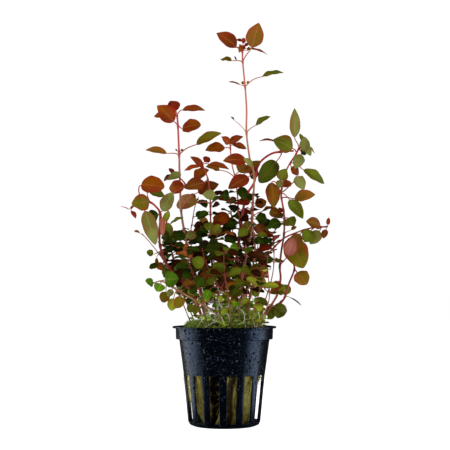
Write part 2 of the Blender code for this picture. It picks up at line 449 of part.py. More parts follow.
class Leaf:
    """A blade between two places, with a stalk that joins it to its stem."""

    def __init__(self, along, base, start, tip, width, normal, tint, name=None, outline=MIDDLE_BLADE):
        self.along, self.base, self.start, self.tip = along, base, start, tip
        self.width, self.tint, self.name, self.outline = width, tint, name, outline
        axis = (tip - start).normalized()
        self.normal = (normal - axis * normal.dot(axis)).normalized()
        self.side = self.normal.cross(axis)

    def ring(self, share, width_share, swell):
        """Four corners of the blade: an edge, the top, the other edge, the underside."""
        length = (self.tip - self.start).length
        rise = LEAF_BOW * length * 4 * share * (1 - share)
        middle = self.start.lerp(self.tip, share) + self.normal * rise
        half = max(self.width * width_share / 2, STALK_RADIUS) + swell
        edge = self.normal * (LEAF_FOLD * half * 2 if width_share > 0.2 else 0.0)
        thick = self.normal * (LEAF_THICKNESS / 2 + swell)
        return [middle + self.side * half + edge, middle + thick,
                middle - self.side * half + edge, middle - thick]

    def rings(self, swell=0.0):
        return [self.ring(share, width, swell) for share, width in self.outline]

    def shell(self, swell, with_stalk):
        """A closed stand-in, a little larger than the leaf, for finding what it would touch."""
        rings = self.rings(swell)
        if with_stalk:
            reach = (self.start - self.base).normalized()
            clear = self.base + reach * STALK_CLEAR
            aside, over = self.side * STALK_REACH, self.normal * STALK_REACH
            rings.insert(0, [clear + aside, clear + over, clear - aside, clear - over])
        points = [point for ring in rings for point in ring] + [self.tip]
        faces = []
        for index in range(len(rings) - 1):
            low = index * 4
            faces += [(low + k, low + (k + 1) % 4, low + 4 + (k + 1) % 4, low + 4 + k) for k in range(4)]
        last = (len(rings) - 1) * 4
        faces += [(last + k, last + (k + 1) % 4, len(points) - 1) for k in range(4)]
        return points, faces


def facing(axis, degrees):
    """The normal of a blade along axis: 0 looks up, 90 looks to the front."""
    turn = math.radians(degrees)
    wanted = UP * math.cos(turn) + FRONT * math.sin(turn) + RIGHT * SIDE_LEAN
    return (wanted - axis * axis.dot(wanted)).normalized()


def stem_radius(path, along):
    return STEM_BASE_RADIUS + (STEM_TIP_RADIUS - STEM_BASE_RADIUS) * along / path.length


def stem_corners(path, along, radius):
    """Four corners of a stem, one between the front and each side."""
    heading = path.heading(along)
    front = (FRONT - heading * heading.dot(FRONT)).normalized()
    aside = heading.cross(front)
    middle = path.at(along)
    turns = [math.radians(45 + 90 * k) for k in range(4)]
    return [middle + (front * math.cos(turn) + aside * math.sin(turn)) * radius for turn in turns]


def stem_shell(path):
    """The tube of a bare stem, for finding what touches it."""
    count = max(2, round(path.length / SHELL_STEP))
    points = []
    for index in range(count + 1):
        along = path.length * index / count
        points += stem_corners(path, along, stem_radius(path, along) + PIECE_GAP)
    faces = []
    for index in range(count):
        low = index * 4
        faces += [(low + k, low + (k + 1) % 4, low + 4 + (k + 1) % 4, low + 4 + k) for k in range(4)]
    return points, faces


def tree_of(points, faces):
    return BVHTree.FromPolygons(points, faces)


def box_of(points):
    low = Vector(min(point[k] for point in points) for k in range(3))
    high = Vector(max(point[k] for point in points) for k in range(3))
    return low, high


class Thicket:
    """What is placed already, so that a new leaf can find a clear space."""

    def __init__(self, paths):
        self.own = {name: tree_of(*stem_shell(path)) for name, path in paths.items()}
        self.others = []
        for name, path in paths.items():
            points, faces = stem_shell(path)
            self.others.append((name, box_of(points), tree_of(points, faces)))

    def clear(self, stem, leaf):
        points, faces = leaf.shell(PIECE_GAP, True)
        if min(point.z for point in points) < LOWEST_LEAF:
            return False
        if tree_of(*leaf.shell(PIECE_GAP, False)).overlap(self.own[stem]):
            return False
        low, high = box_of(points)
        tree = tree_of(points, faces)
        for name, (other_low, other_high), other in self.others:
            apart = any(low[k] > other_high[k] or other_low[k] > high[k] for k in range(3))
            if name != stem and not apart and tree.overlap(other):
                return False
        return True

    def add(self, leaf):
        points, faces = leaf.shell(0.0, True)
        self.others.append((None, box_of(points), tree_of(points, faces)))


def traced_leaf(path, row_values, shift):
    """A leaf of the LEAVES table, with its tip moved in depth by shift."""
    at_column, at_row, column, row, depth, tip_column, tip_row, tip_depth, width, turn, tint = \
        row_values[:11]
    name = row_values[11] if len(row_values) > 11 else None
    along = path.nearest(at_column, at_row)
    base = path.at(along)
    start = spot(column, row, base.y + depth + shift * START_SHIFT)
    tip = spot(tip_column, tip_row, base.y + tip_depth + shift)
    normal = facing((tip - start).normalized(), turn)
    outline = LARGE_BLADE if name else MIDDLE_BLADE
    return Leaf(along, base, start, tip, width, normal, tint, name, outline)


def paired_leaf(path, along, turn, length, tint, chance):
    """One of a pair of small leaves, pointing away from its stem at a turn round it."""
    heading = path.heading(along)
    front = (FRONT - heading * heading.dot(FRONT)).normalized()
    aside = heading.cross(front)
    out = front * math.cos(turn) + aside * math.sin(turn)
    reach = (out + UP * chance.uniform(*PAIR_RISE)).normalized()
    base = path.at(along)
    start = base + reach * PAIR_START
    tip = start + (reach + UP * chance.uniform(*PAIR_TIP_RISE)).normalized() * length
    normal = facing((tip - start).normalized(), chance.uniform(*PAIR_FACINGS))
    return Leaf(along, base, start, tip, length * PAIR_WIDTH, normal, tint, None, SMALL_BLADE)


def lay_out_leaves(paths):
    """Every leaf, by stem: the traced ones first, the named before the small, then the pairs."""
    thicket = Thicket(paths)
    grown = {name: [] for name in paths}

    def take(stem, tries):
        for leaf in tries:
            if thicket.clear(stem, leaf):
                thicket.add(leaf)
                grown[stem].append(leaf)
                return True
        return False

    rows = [(stem, row) for stem, table in LEAVES.items() for row in table]
    for stem, row in sorted(rows, key=lambda entry: len(entry[1]) < 12):
        if not take(stem, (traced_leaf(paths[stem], row, shift) for shift in DEPTH_TRIES)):
            print("no clear space for the leaf", stem, row)
    chance = random.Random(PAIR_SEED)
    for stem, (pairs, first, last, length, tint) in PAIRS.items():
        path = paths[stem]
        turn = chance.uniform(0, math.pi)
        for index in range(pairs):
            share = first + (last - first) * (index / max(pairs - 1, 1))
            for half in (0, math.pi):
                size = length * chance.uniform(*PAIR_SIZES)
                take(stem, [paired_leaf(path, path.length * share, turn + half + swing, size, tint, chance)
                            for swing in PAIR_SWINGS])
            turn += math.pi / 2
    return grown


def finish(name, colour, roughness):
    """A plain finish of one colour."""
    material = bpy.data.materials.get(name)
    if material is None:
        material = bpy.data.materials.new(name)
        material.use_nodes = True
        shader = material.node_tree.nodes["Principled BSDF"]
        shader.inputs["Base Color"].default_value = (*colour, 1.0)
        shader.inputs["Roughness"].default_value = roughness
        shader.inputs["Metallic"].default_value = 0.0
        material.diffuse_color = (*colour, 1.0)
    return material


def add_object(name, mesh_shape, materials):
    """A bmesh in millimetres becomes a named object in metres."""
    bmesh.ops.scale(mesh_shape, vec=(MM, MM, MM), verts=mesh_shape.verts)
    mesh = bpy.data.meshes.new(name)
    mesh_shape.to_mesh(mesh)
    mesh_shape.free()
    for material in materials:
        mesh.materials.append(material)
    thing = bpy.data.objects.new(name, mesh)
    bpy.context.collection.objects.link(thing)
    return thing


def bridge(shape, lower, upper, material_index=0):
    """Four or more faces between two loops that run the same way round."""
    count = len(lower)
    for k in range(count):
        after = (k + 1) % count
        face = shape.faces.new((lower[k], lower[after], upper[after], upper[k]))
        face.material_index = material_index


def grow_leaf(shape, loop, leaf, material_index):
    """A leaf lofted from a loop of four corners out to its tip."""
    for ring in leaf.rings():
        corners = [shape.verts.new(corner) for corner in ring]

        def twist(shift):
            return sum((corners[(k + shift) % 4].co - loop[k].co).length for k in range(4))
        shift = min(range(4), key=twist)
        corners = corners[shift:] + corners[:shift]
        bridge(shape, loop, corners, material_index)
        loop = corners
    tip = shape.verts.new(leaf.tip)
    for k in range(4):
        face = shape.faces.new((loop[k], loop[(k + 1) % 4], tip))
        face.material_index = material_index


def share_out_nodes(path, leaves):
    """Short stretches of stem and, on each, the side that every leaf takes: side 3 is the front."""
    stretches = []
    for leaf in sorted(leaves, key=lambda each: each.along):
        heading = path.heading(leaf.along)
        front = (FRONT - heading * heading.dot(FRONT)).normalized()
        aside = heading.cross(front)
        out = leaf.start - leaf.base
        pull = (out.dot(aside), -out.dot(front), -out.dot(aside), out.dot(front))
        wanted = sorted(range(4), key=lambda side: -pull[side])
        place = min(max(leaf.along, NODE_LENGTH), path.length - NODE_LENGTH)
        if stretches and place - stretches[-1][0] < NODE_LENGTH + NODE_SPACE:
            free = [side for side in wanted[:2] if side not in stretches[-1][1]]
            if free:
                stretches[-1][1][free[0]] = leaf
                continue
            place = stretches[-1][0] + NODE_LENGTH + NODE_SPACE
        stretches.append([place, {wanted[0]: leaf}])
    limit = path.length - NODE_LENGTH / 2
    for stretch in reversed(stretches):
        stretch[0] = min(stretch[0], limit)
        limit = stretch[0] - NODE_LENGTH - NODE_SPACE
    return stretches


def stem_stations(path, stretches):
    """Lengths at which the stem gets a ring, each with the stretch that starts there, if one does."""
    stations = [(0.0, None)]
    if not stretches or stretches[0][0] > FOOT_LENGTH + NODE_LENGTH:
        stations.append((FOOT_LENGTH, None))
    for place, sides in stretches:
        stations += [(place - NODE_LENGTH / 2, sides), (place + NODE_LENGTH / 2, None)]
    if path.length - stations[-1][0] > END_SPACE:
        stations.append((path.length, None))
    full = []
    for (along, sides), (after, _) in zip(stations, stations[1:]):
        full.append((along, sides))
        if sides is None:
            extra = math.ceil((after - along) / RING_STEP) - 1
            full += [(along + (after - along) * (k + 1) / (extra + 1), None) for k in range(extra)]
    return full + [stations[-1]]


def make_stem(name, path, leaves):
    """A four-angled stem with its small leaves grown on it."""
    colour = STEM_PALE if name in PALE_STEMS else STEM_RED
    materials = [finish("stem_pale" if name in PALE_STEMS else "stem_red", colour, STEM_ROUGHNESS)]
    tints = sorted({leaf.tint for leaf in leaves})
    materials += [finish("leaf_" + tint, TINTS[tint], LEAF_ROUGHNESS) for tint in tints]
    shape = bmesh.new()
    stations = stem_stations(path, share_out_nodes(path, leaves))
    rings = []
    for along, _ in stations:
        corners = stem_corners(path, along, stem_radius(path, along))
        rings.append([shape.verts.new(corner) for corner in corners])
    for (lower, upper), (_, sides) in zip(zip(rings, rings[1:]), stations):
        for side in range(4):
            after = (side + 1) % 4
            loop = (lower[side], lower[after], upper[after], upper[side])
            leaf = sides.get(side) if sides else None
            if leaf:
                out = (loop[0].co + loop[2].co) / 2 - path.at(leaf.along)
                lift_stalk(leaf, out.normalized())
                grow_leaf(shape, loop, leaf, 1 + tints.index(leaf.tint))
            else:
                shape.faces.new(loop)
    shape.faces.new(rings[0][::-1])
    shape.faces.new(rings[-1])
    return add_object("stem_" + name, shape, materials)


def lift_stalk(leaf, out):
    """A blade that starts too close to the side it grows from is held off it."""
    first = leaf.ring(leaf.outline[0][0], leaf.outline[0][1], 0.0)
    low = min((corner - leaf.base).dot(out) for corner in first)
    missing = STEM_BASE_RADIUS + STALK_LIFT - low
    if missing > 0:
        leaf.start = leaf.start + out * missing


def make_leaf(leaf, path):
    """A large leaf of its own, its stalk ending just short of the stem."""
    reach = (leaf.start - leaf.base).normalized()
    slant = max(reach.cross(path.heading(leaf.along)).length, STEEPEST_SLANT)
    gap = (stem_radius(path, leaf.along) + STALK_RADIUS + PIECE_GAP) / slant
    foot = leaf.base + reach * gap
    side = leaf.side - reach * leaf.side.dot(reach)
    side.normalize()
    top = reach.cross(side)
    shape = bmesh.new()
    offsets = (side, top, -side, -top)
    loop = [shape.verts.new(foot + offset * STALK_RADIUS) for offset in offsets]
    grow_leaf(shape, loop, leaf, 0)
    shape.faces.new(loop[::-1])
    return add_object(leaf.name, shape, [finish("leaf_" + leaf.tint, TINTS[leaf.tint], LEAF_ROUGHNESS)])


def make_pot():
    """The net pot: two turned skins joined at the rim, with a slot between every two ribs."""
    pitch = 2 * math.pi / SLOT_COUNT
    turns = []
    for slot in range(SLOT_COUNT):
        middle = math.radians(FIRST_SLOT_TURN) + pitch * slot
        turns += [middle - pitch * SLOT_SHARE / 2, middle + pitch * SLOT_SHARE / 2]
    shape = bmesh.new()

    def ring(radius, height):
        return [shape.verts.new((radius * math.sin(turn), -radius * math.cos(turn), height))
                for turn in turns]
    outside = [ring(*point) for point in POT_OUTSIDE]
    inside = [ring(*point) for point in POT_INSIDE]
    skin = outside + inside
    open_bands = (SLOT_LOW_OUT, len(outside) + SLOT_HIGH_IN)
    for band, (lower, upper) in enumerate(zip(skin, skin[1:])):
        for k in range(2 * SLOT_COUNT):
            if band not in open_bands or k % 2:
                after = (k + 1) % len(turns)
                shape.faces.new((lower[k], lower[after], upper[after], upper[k]))
    low_out, high_out = outside[SLOT_LOW_OUT], outside[SLOT_HIGH_OUT]
    low_in, high_in = inside[SLOT_LOW_IN], inside[SLOT_HIGH_IN]
    for slot in range(SLOT_COUNT):
        left, right = 2 * slot, 2 * slot + 1
        shape.faces.new((low_out[left], low_out[right], low_in[right], low_in[left]))
        shape.faces.new((high_out[right], high_out[left], high_in[left], high_in[right]))
        shape.faces.new((low_out[right], high_out[right], high_in[right], low_in[right]))
        shape.faces.new((high_out[left], low_out[left], low_in[left], high_in[left]))
    shape.faces.new(outside[0][::-1])
    shape.faces.new(inside[-1])
    pot = add_object("pot", shape, [finish("pot_black", POT_BLACK, POT_ROUGHNESS)])
    pot.data.shade_smooth()
    pot.data.set_sharp_from_angle(angle=math.radians(SHARP_ANGLE))
    return pot


def ease(value):
    value = min(max(value, 0.0), 1.0)
    return value * value * (3 - 2 * value)


def wool_height(x, y):
    """The top of the wool, with the mossy mound that stands above the rim on the left."""
    across = ease((MOUND_RIGHT_END - x) / MOUND_SLOPE)
    along = ease((MOUND_HALF_DEPTH - abs(y - MOUND_MIDDLE)) / MOUND_SLOPE)
    wave = WOOL_WAVE * math.sin(x * 0.4 + 1) * math.cos(y * 0.5)
    return WOOL_TOP + MOUND_HEIGHT * across * along + wave


def make_wool(paths):
    """The plug of rock wool, a little uneven, with a socket for the foot of every stem."""
    shape = bmesh.new()

    def ring(middle, radius, height=None):
        corners = []
        for k in range(WOOL_SIDES):
            turn = 2 * math.pi * k / WOOL_SIDES
            reach = radius * (1 + 0.012 * math.sin(3 * turn + radius) + 0.01 * math.cos(5 * turn))
            x, y = middle + reach * math.cos(turn), reach * math.sin(turn)
            corners.append(shape.verts.new((x, y, wool_height(x, y) if height is None else height)))
        return corners
    rings = [ring(*values) for values in WOOL_RINGS] + [ring(*values) for values in WOOL_TOP_RINGS]
    for lower, upper in zip(rings, rings[1:]):
        bridge(shape, lower, upper)
    shape.faces.new(rings[0][::-1])
    crown = shape.verts.new((0, 0, wool_height(0, 0)))
    for k in range(WOOL_SIDES):
        shape.faces.new((rings[-1][k], rings[-1][(k + 1) % WOOL_SIDES], crown))
    wool = add_object("rock_wool", shape, [finish("wool_olive", WOOL_OLIVE, WOOL_ROUGHNESS)])
    for name, path in paths.items():
        if name not in UNROOTED:
            cut = wool.modifiers.new("socket_" + name, "BOOLEAN")
            cut.operation = "DIFFERENCE"
            cut.object = socket_cutter(name, path)
    return wool


def socket_cutter(name, path):
    """The foot of a stem, made wider by the gap that it keeps to the wool."""
    shape = bmesh.new()
    rings = []
    for along in (0.0, FOOT_LENGTH):
        corners = stem_corners(path, along, stem_radius(path, along) + SOCKET_GAP)
        rings.append([shape.verts.new(corner) for corner in corners])
    down = (path.at(0.0) - path.at(FOOT_LENGTH)).normalized() * SOCKET_GAP
    for corner in rings[0]:
        corner.co += down
    bridge(shape, *rings)
    shape.faces.new(rings[0][::-1])
    shape.faces.new(rings[-1])
    cutter = add_object("cut_" + name, shape, [])
    cutter.hide_render = True
    cutter.display_type = "WIRE"
    return cutter


def main():
    for thing in list(bpy.data.objects):
        bpy.data.objects.remove(thing, do_unlink=True)
    paths = {name: Path([spot(*place) for place in route]) for name, route in STEMS.items()}
    make_pot()
    make_wool(paths)
    grown = lay_out_leaves(paths)
    for name, path in paths.items():
        make_stem(name, path, [leaf for leaf in grown[name] if not leaf.name])
        for leaf in grown[name]:
            if leaf.name:
                make_leaf(leaf, path)
    count = sum(len(leaves) for leaves in grown.values())
    print("pot, rock wool,", len(paths), "stems and", count, "leaves")


main()
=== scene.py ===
# %% [markdown]
# # A red and green marsh plant in its net pot
# The real object is a young marsh plant as aquarium shops sell it: thin red stems with oval leaves in
# pairs, rooted in a plug of rock wool, in a black pot with slots for the roots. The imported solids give
# every place and size. This script gives each of them its true surface: thin curved leaves with veins,
# round stems with swollen joints, a moulded pot and a fibrous, mossy plug.

# %% Load the frame
import bisect
import math
import random

import bmesh
import bpy
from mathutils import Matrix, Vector, noise
from mathutils.bvhtree import BVHTree


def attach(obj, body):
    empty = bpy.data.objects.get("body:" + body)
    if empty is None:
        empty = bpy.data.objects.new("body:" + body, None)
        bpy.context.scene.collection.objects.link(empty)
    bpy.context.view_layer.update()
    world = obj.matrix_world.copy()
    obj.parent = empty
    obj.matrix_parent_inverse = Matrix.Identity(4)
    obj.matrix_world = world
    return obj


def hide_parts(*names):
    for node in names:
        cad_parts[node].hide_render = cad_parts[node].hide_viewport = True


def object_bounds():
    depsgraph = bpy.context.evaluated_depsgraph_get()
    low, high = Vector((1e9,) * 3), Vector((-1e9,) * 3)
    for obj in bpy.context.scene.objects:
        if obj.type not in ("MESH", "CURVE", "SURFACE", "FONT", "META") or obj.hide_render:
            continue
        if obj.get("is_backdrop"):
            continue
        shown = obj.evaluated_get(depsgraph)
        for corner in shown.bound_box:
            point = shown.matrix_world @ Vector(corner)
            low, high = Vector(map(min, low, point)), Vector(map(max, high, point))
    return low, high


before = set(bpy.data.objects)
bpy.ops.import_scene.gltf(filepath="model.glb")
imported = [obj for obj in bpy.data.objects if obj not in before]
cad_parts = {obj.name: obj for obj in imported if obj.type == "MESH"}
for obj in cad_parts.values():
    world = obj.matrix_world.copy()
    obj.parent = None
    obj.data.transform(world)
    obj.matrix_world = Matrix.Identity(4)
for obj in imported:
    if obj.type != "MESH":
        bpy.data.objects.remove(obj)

CAD_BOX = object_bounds()
MM = 0.001
UP = Vector((0.0, 0.0, 1.0))
FRONT = Vector((0.0, -1.0, 0.0))
RIGHT = Vector((1.0, 0.0, 0.0))
print("solids in the frame:", len(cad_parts))

# %% [markdown]
# ## The eye and the tracing view
# A plant has no plan to copy, so its stems and leaves were traced in one view. A place is a column and
# a row of that view with a depth in millimetres, positive away from the eye. Turning the three into a
# point is one ray from the eye. The camera stands at the same eye, so what was traced falls where it was
# seen, and the depths give the plant its body from every other side.

# %% The tracing view
EYE = Vector((0.33, -600.0, 73.6))
VIEW_FOCAL = 1107.0
VIEW_MIDDLE = 225.0
VIEW_PITCH = math.atan2(63.0, VIEW_FOCAL)
VIEW_AHEAD = Vector((0.0, math.cos(VIEW_PITCH), math.sin(VIEW_PITCH)))
VIEW_UP = Vector((0.0, -math.sin(VIEW_PITCH), math.cos(VIEW_PITCH)))
SENSOR = 36.0


def spot(column, row, depth):
    """The place in millimetres that shows at a column and row, at a depth."""
    ray = VIEW_AHEAD.copy()
    ray.x += (column - VIEW_MIDDLE) / VIEW_FOCAL
    ray += VIEW_UP * ((VIEW_MIDDLE - row) / VIEW_FOCAL)
    return EYE + ray * ((depth - EYE.y) / ray.y)


def seen(place):
    """The column and row at which a place shows."""
    ray = place - EYE
    ahead = ray.dot(VIEW_AHEAD)
    column = VIEW_MIDDLE + VIEW_FOCAL * ray.x / ahead
    return column, VIEW_MIDDLE - VIEW_FOCAL * ray.dot(VIEW_UP) / ahead


def ease(value):
    """0 below 0, 1 above 1 and smooth between."""
    value = min(max(value, 0.0), 1.0)
    return value * value * (3 - 2 * value)


def show(name, data):
    """A new object, shown in the scene."""
    shown = bpy.data.objects.new(name, data)
    bpy.context.collection.objects.link(shown)
    return shown


lens = bpy.data.cameras.new("eye")
lens.sensor_width = SENSOR
lens.lens = VIEW_FOCAL / (2 * VIEW_MIDDLE) * SENSOR
lens.clip_start = 0.01
camera = show("eye", lens)
camera.location = EYE * MM
camera.rotation_euler = (math.pi / 2 + VIEW_PITCH, 0.0, 0.0)
bpy.context.scene.camera = camera
print("camera at", tuple(round(value, 3) for value in camera.location))

# %% [markdown]
# ## Writing node trees as sums
# Finishes and growth rules are node trees. Wiring them by hand hides the idea, so one small class wraps
# a socket and lets Python's own signs add the Math nodes: `1 - mask` is one Subtract node. Every other
# node comes from `add`, which takes its type, its settings and the values or links of its sockets.

# %% Sockets that can be added and multiplied
class Number:
    """A socket of a node tree that takes part in sums."""

    def __init__(self, tree, socket):
        self.tree, self.socket = tree, socket

    def do(self, operation, *others):
        """Any Math node, with this socket first."""
        return self.tree.add("ShaderNodeMath", {"operation": operation}, (self, *others))

    def __add__(self, other):
        return self.do("ADD", other)

    def __sub__(self, other):
        return self.do("SUBTRACT", other)

    def __rsub__(self, other):
        return self.tree.add("ShaderNodeMath", {"operation": "SUBTRACT"}, (other, self))

    def __mul__(self, other):
        return self.do("MULTIPLY", other)

    __radd__ = __add__
    __rmul__ = __mul__

    def output(self, name):
        """Another output of the node that this socket is on."""
        return Number(self.tree, self.socket.node.outputs[name])

    def ramp(self, low, high):
        """0 below low, 1 above high and smooth between; the other way round if low is above high."""
        turned = low > high
        values = {0: self, 1: min(low, high), 2: max(low, high), 3: float(turned), 4: float(not turned)}
        return self.tree.add("ShaderNodeMapRange", {"interpolation_type": "SMOOTHSTEP"}, values)


class Tree:
    """A shader or geometry node tree that is written as expressions."""

    def __init__(self, nodes_and_links):
        self.tree = nodes_and_links

    def add(self, kind, settings=None, values=(), output=0):
        """A new node with its settings, and with values or links on its sockets."""
        node = self.tree.nodes.new(kind)
        for name, setting in (settings or {}).items():
            setattr(node, name, setting)
        pairs = values.items() if isinstance(values, dict) else enumerate(values)
        for key, value in pairs:
            if isinstance(value, Number):
                self.tree.links.new(value.socket, node.inputs[key])
            else:
                node.inputs[key].default_value = value
        return Number(self, node.outputs[output])

    def attribute(self, name):
        """A value that was stored on the mesh."""
        return self.add("ShaderNodeAttribute", {"attribute_name": name}, output="Fac")

    def place(self):
        """Object coordinates, in metres."""
        return self.add("ShaderNodeTexCoord", output="Object")

    def part(self, vector, axis):
        """One of the three numbers of a vector."""
        return self.add("ShaderNodeSeparateXYZ", values=(vector,), output=axis)

    def mix(self, share, low, high):
        """A colour between two."""
        return self.add("ShaderNodeMix", {"data_type": "RGBA"}, {0: share, 6: low, 7: high}, output=2)

    def grain(self, scale, detail=2.0, stretch=None):
        """Soft noise on Object coordinates, about 0 to 1; scale is features in a metre."""
        place = self.place()
        if stretch:
            place = self.add("ShaderNodeMapping", values={"Vector": place, "Scale": stretch})
        return self.add("ShaderNodeTexNoise", values={"Vector": place, "Scale": scale, "Detail": detail})

    def cells(self, scale):
        """Distance to scattered points on Object coordinates; scale is cells in a metre."""
        return self.add("ShaderNodeTexVoronoi", values={"Vector": self.place(), "Scale": scale})

    def bump(self, strength, depth, height):
        """A normal that stands for relief of a depth in metres."""
        return self.add("ShaderNodeBump", values={"Strength": strength, "Distance": depth, "Height": height})


def paint(red, green, blue):
    """A colour as it shows on a screen, 0 to 255, in the linear values that a shader takes."""
    def linear(value):
        value /= 255
        return value / 12.92 if value <= 0.04045 else ((value + 0.055) / 1.055) ** 2.4
    return (linear(red), linear(green), linear(blue), 1.0)


def new_finish(name, **sockets):
    """A material with a Principled shader, its tree, and plain numbers on the shader's own sockets."""
    material = bpy.data.materials.new(name)
    material.use_nodes = True
    shader = material.node_tree.nodes["Principled BSDF"]
    for key, value in sockets.items():
        shader.inputs[key.replace("_", " ")].default_value = value
    return material, Tree(material.node_tree), shader


def wire(shader, **sockets):
    """Links values to a shader's sockets."""
    for key, value in sockets.items():
        value.tree.tree.links.new(value.socket, shader.inputs[key.replace("_", " ")])


print("helpers for node trees are ready")

# %% [markdown]
# ## Routes of the stems
# Each stem is a route through a few traced places, with a smooth line drawn through them. The first place
# lies inside the wool, or on another stem for the one side branch. The same routes made the packed
# solids, so stems here run where the solids run.

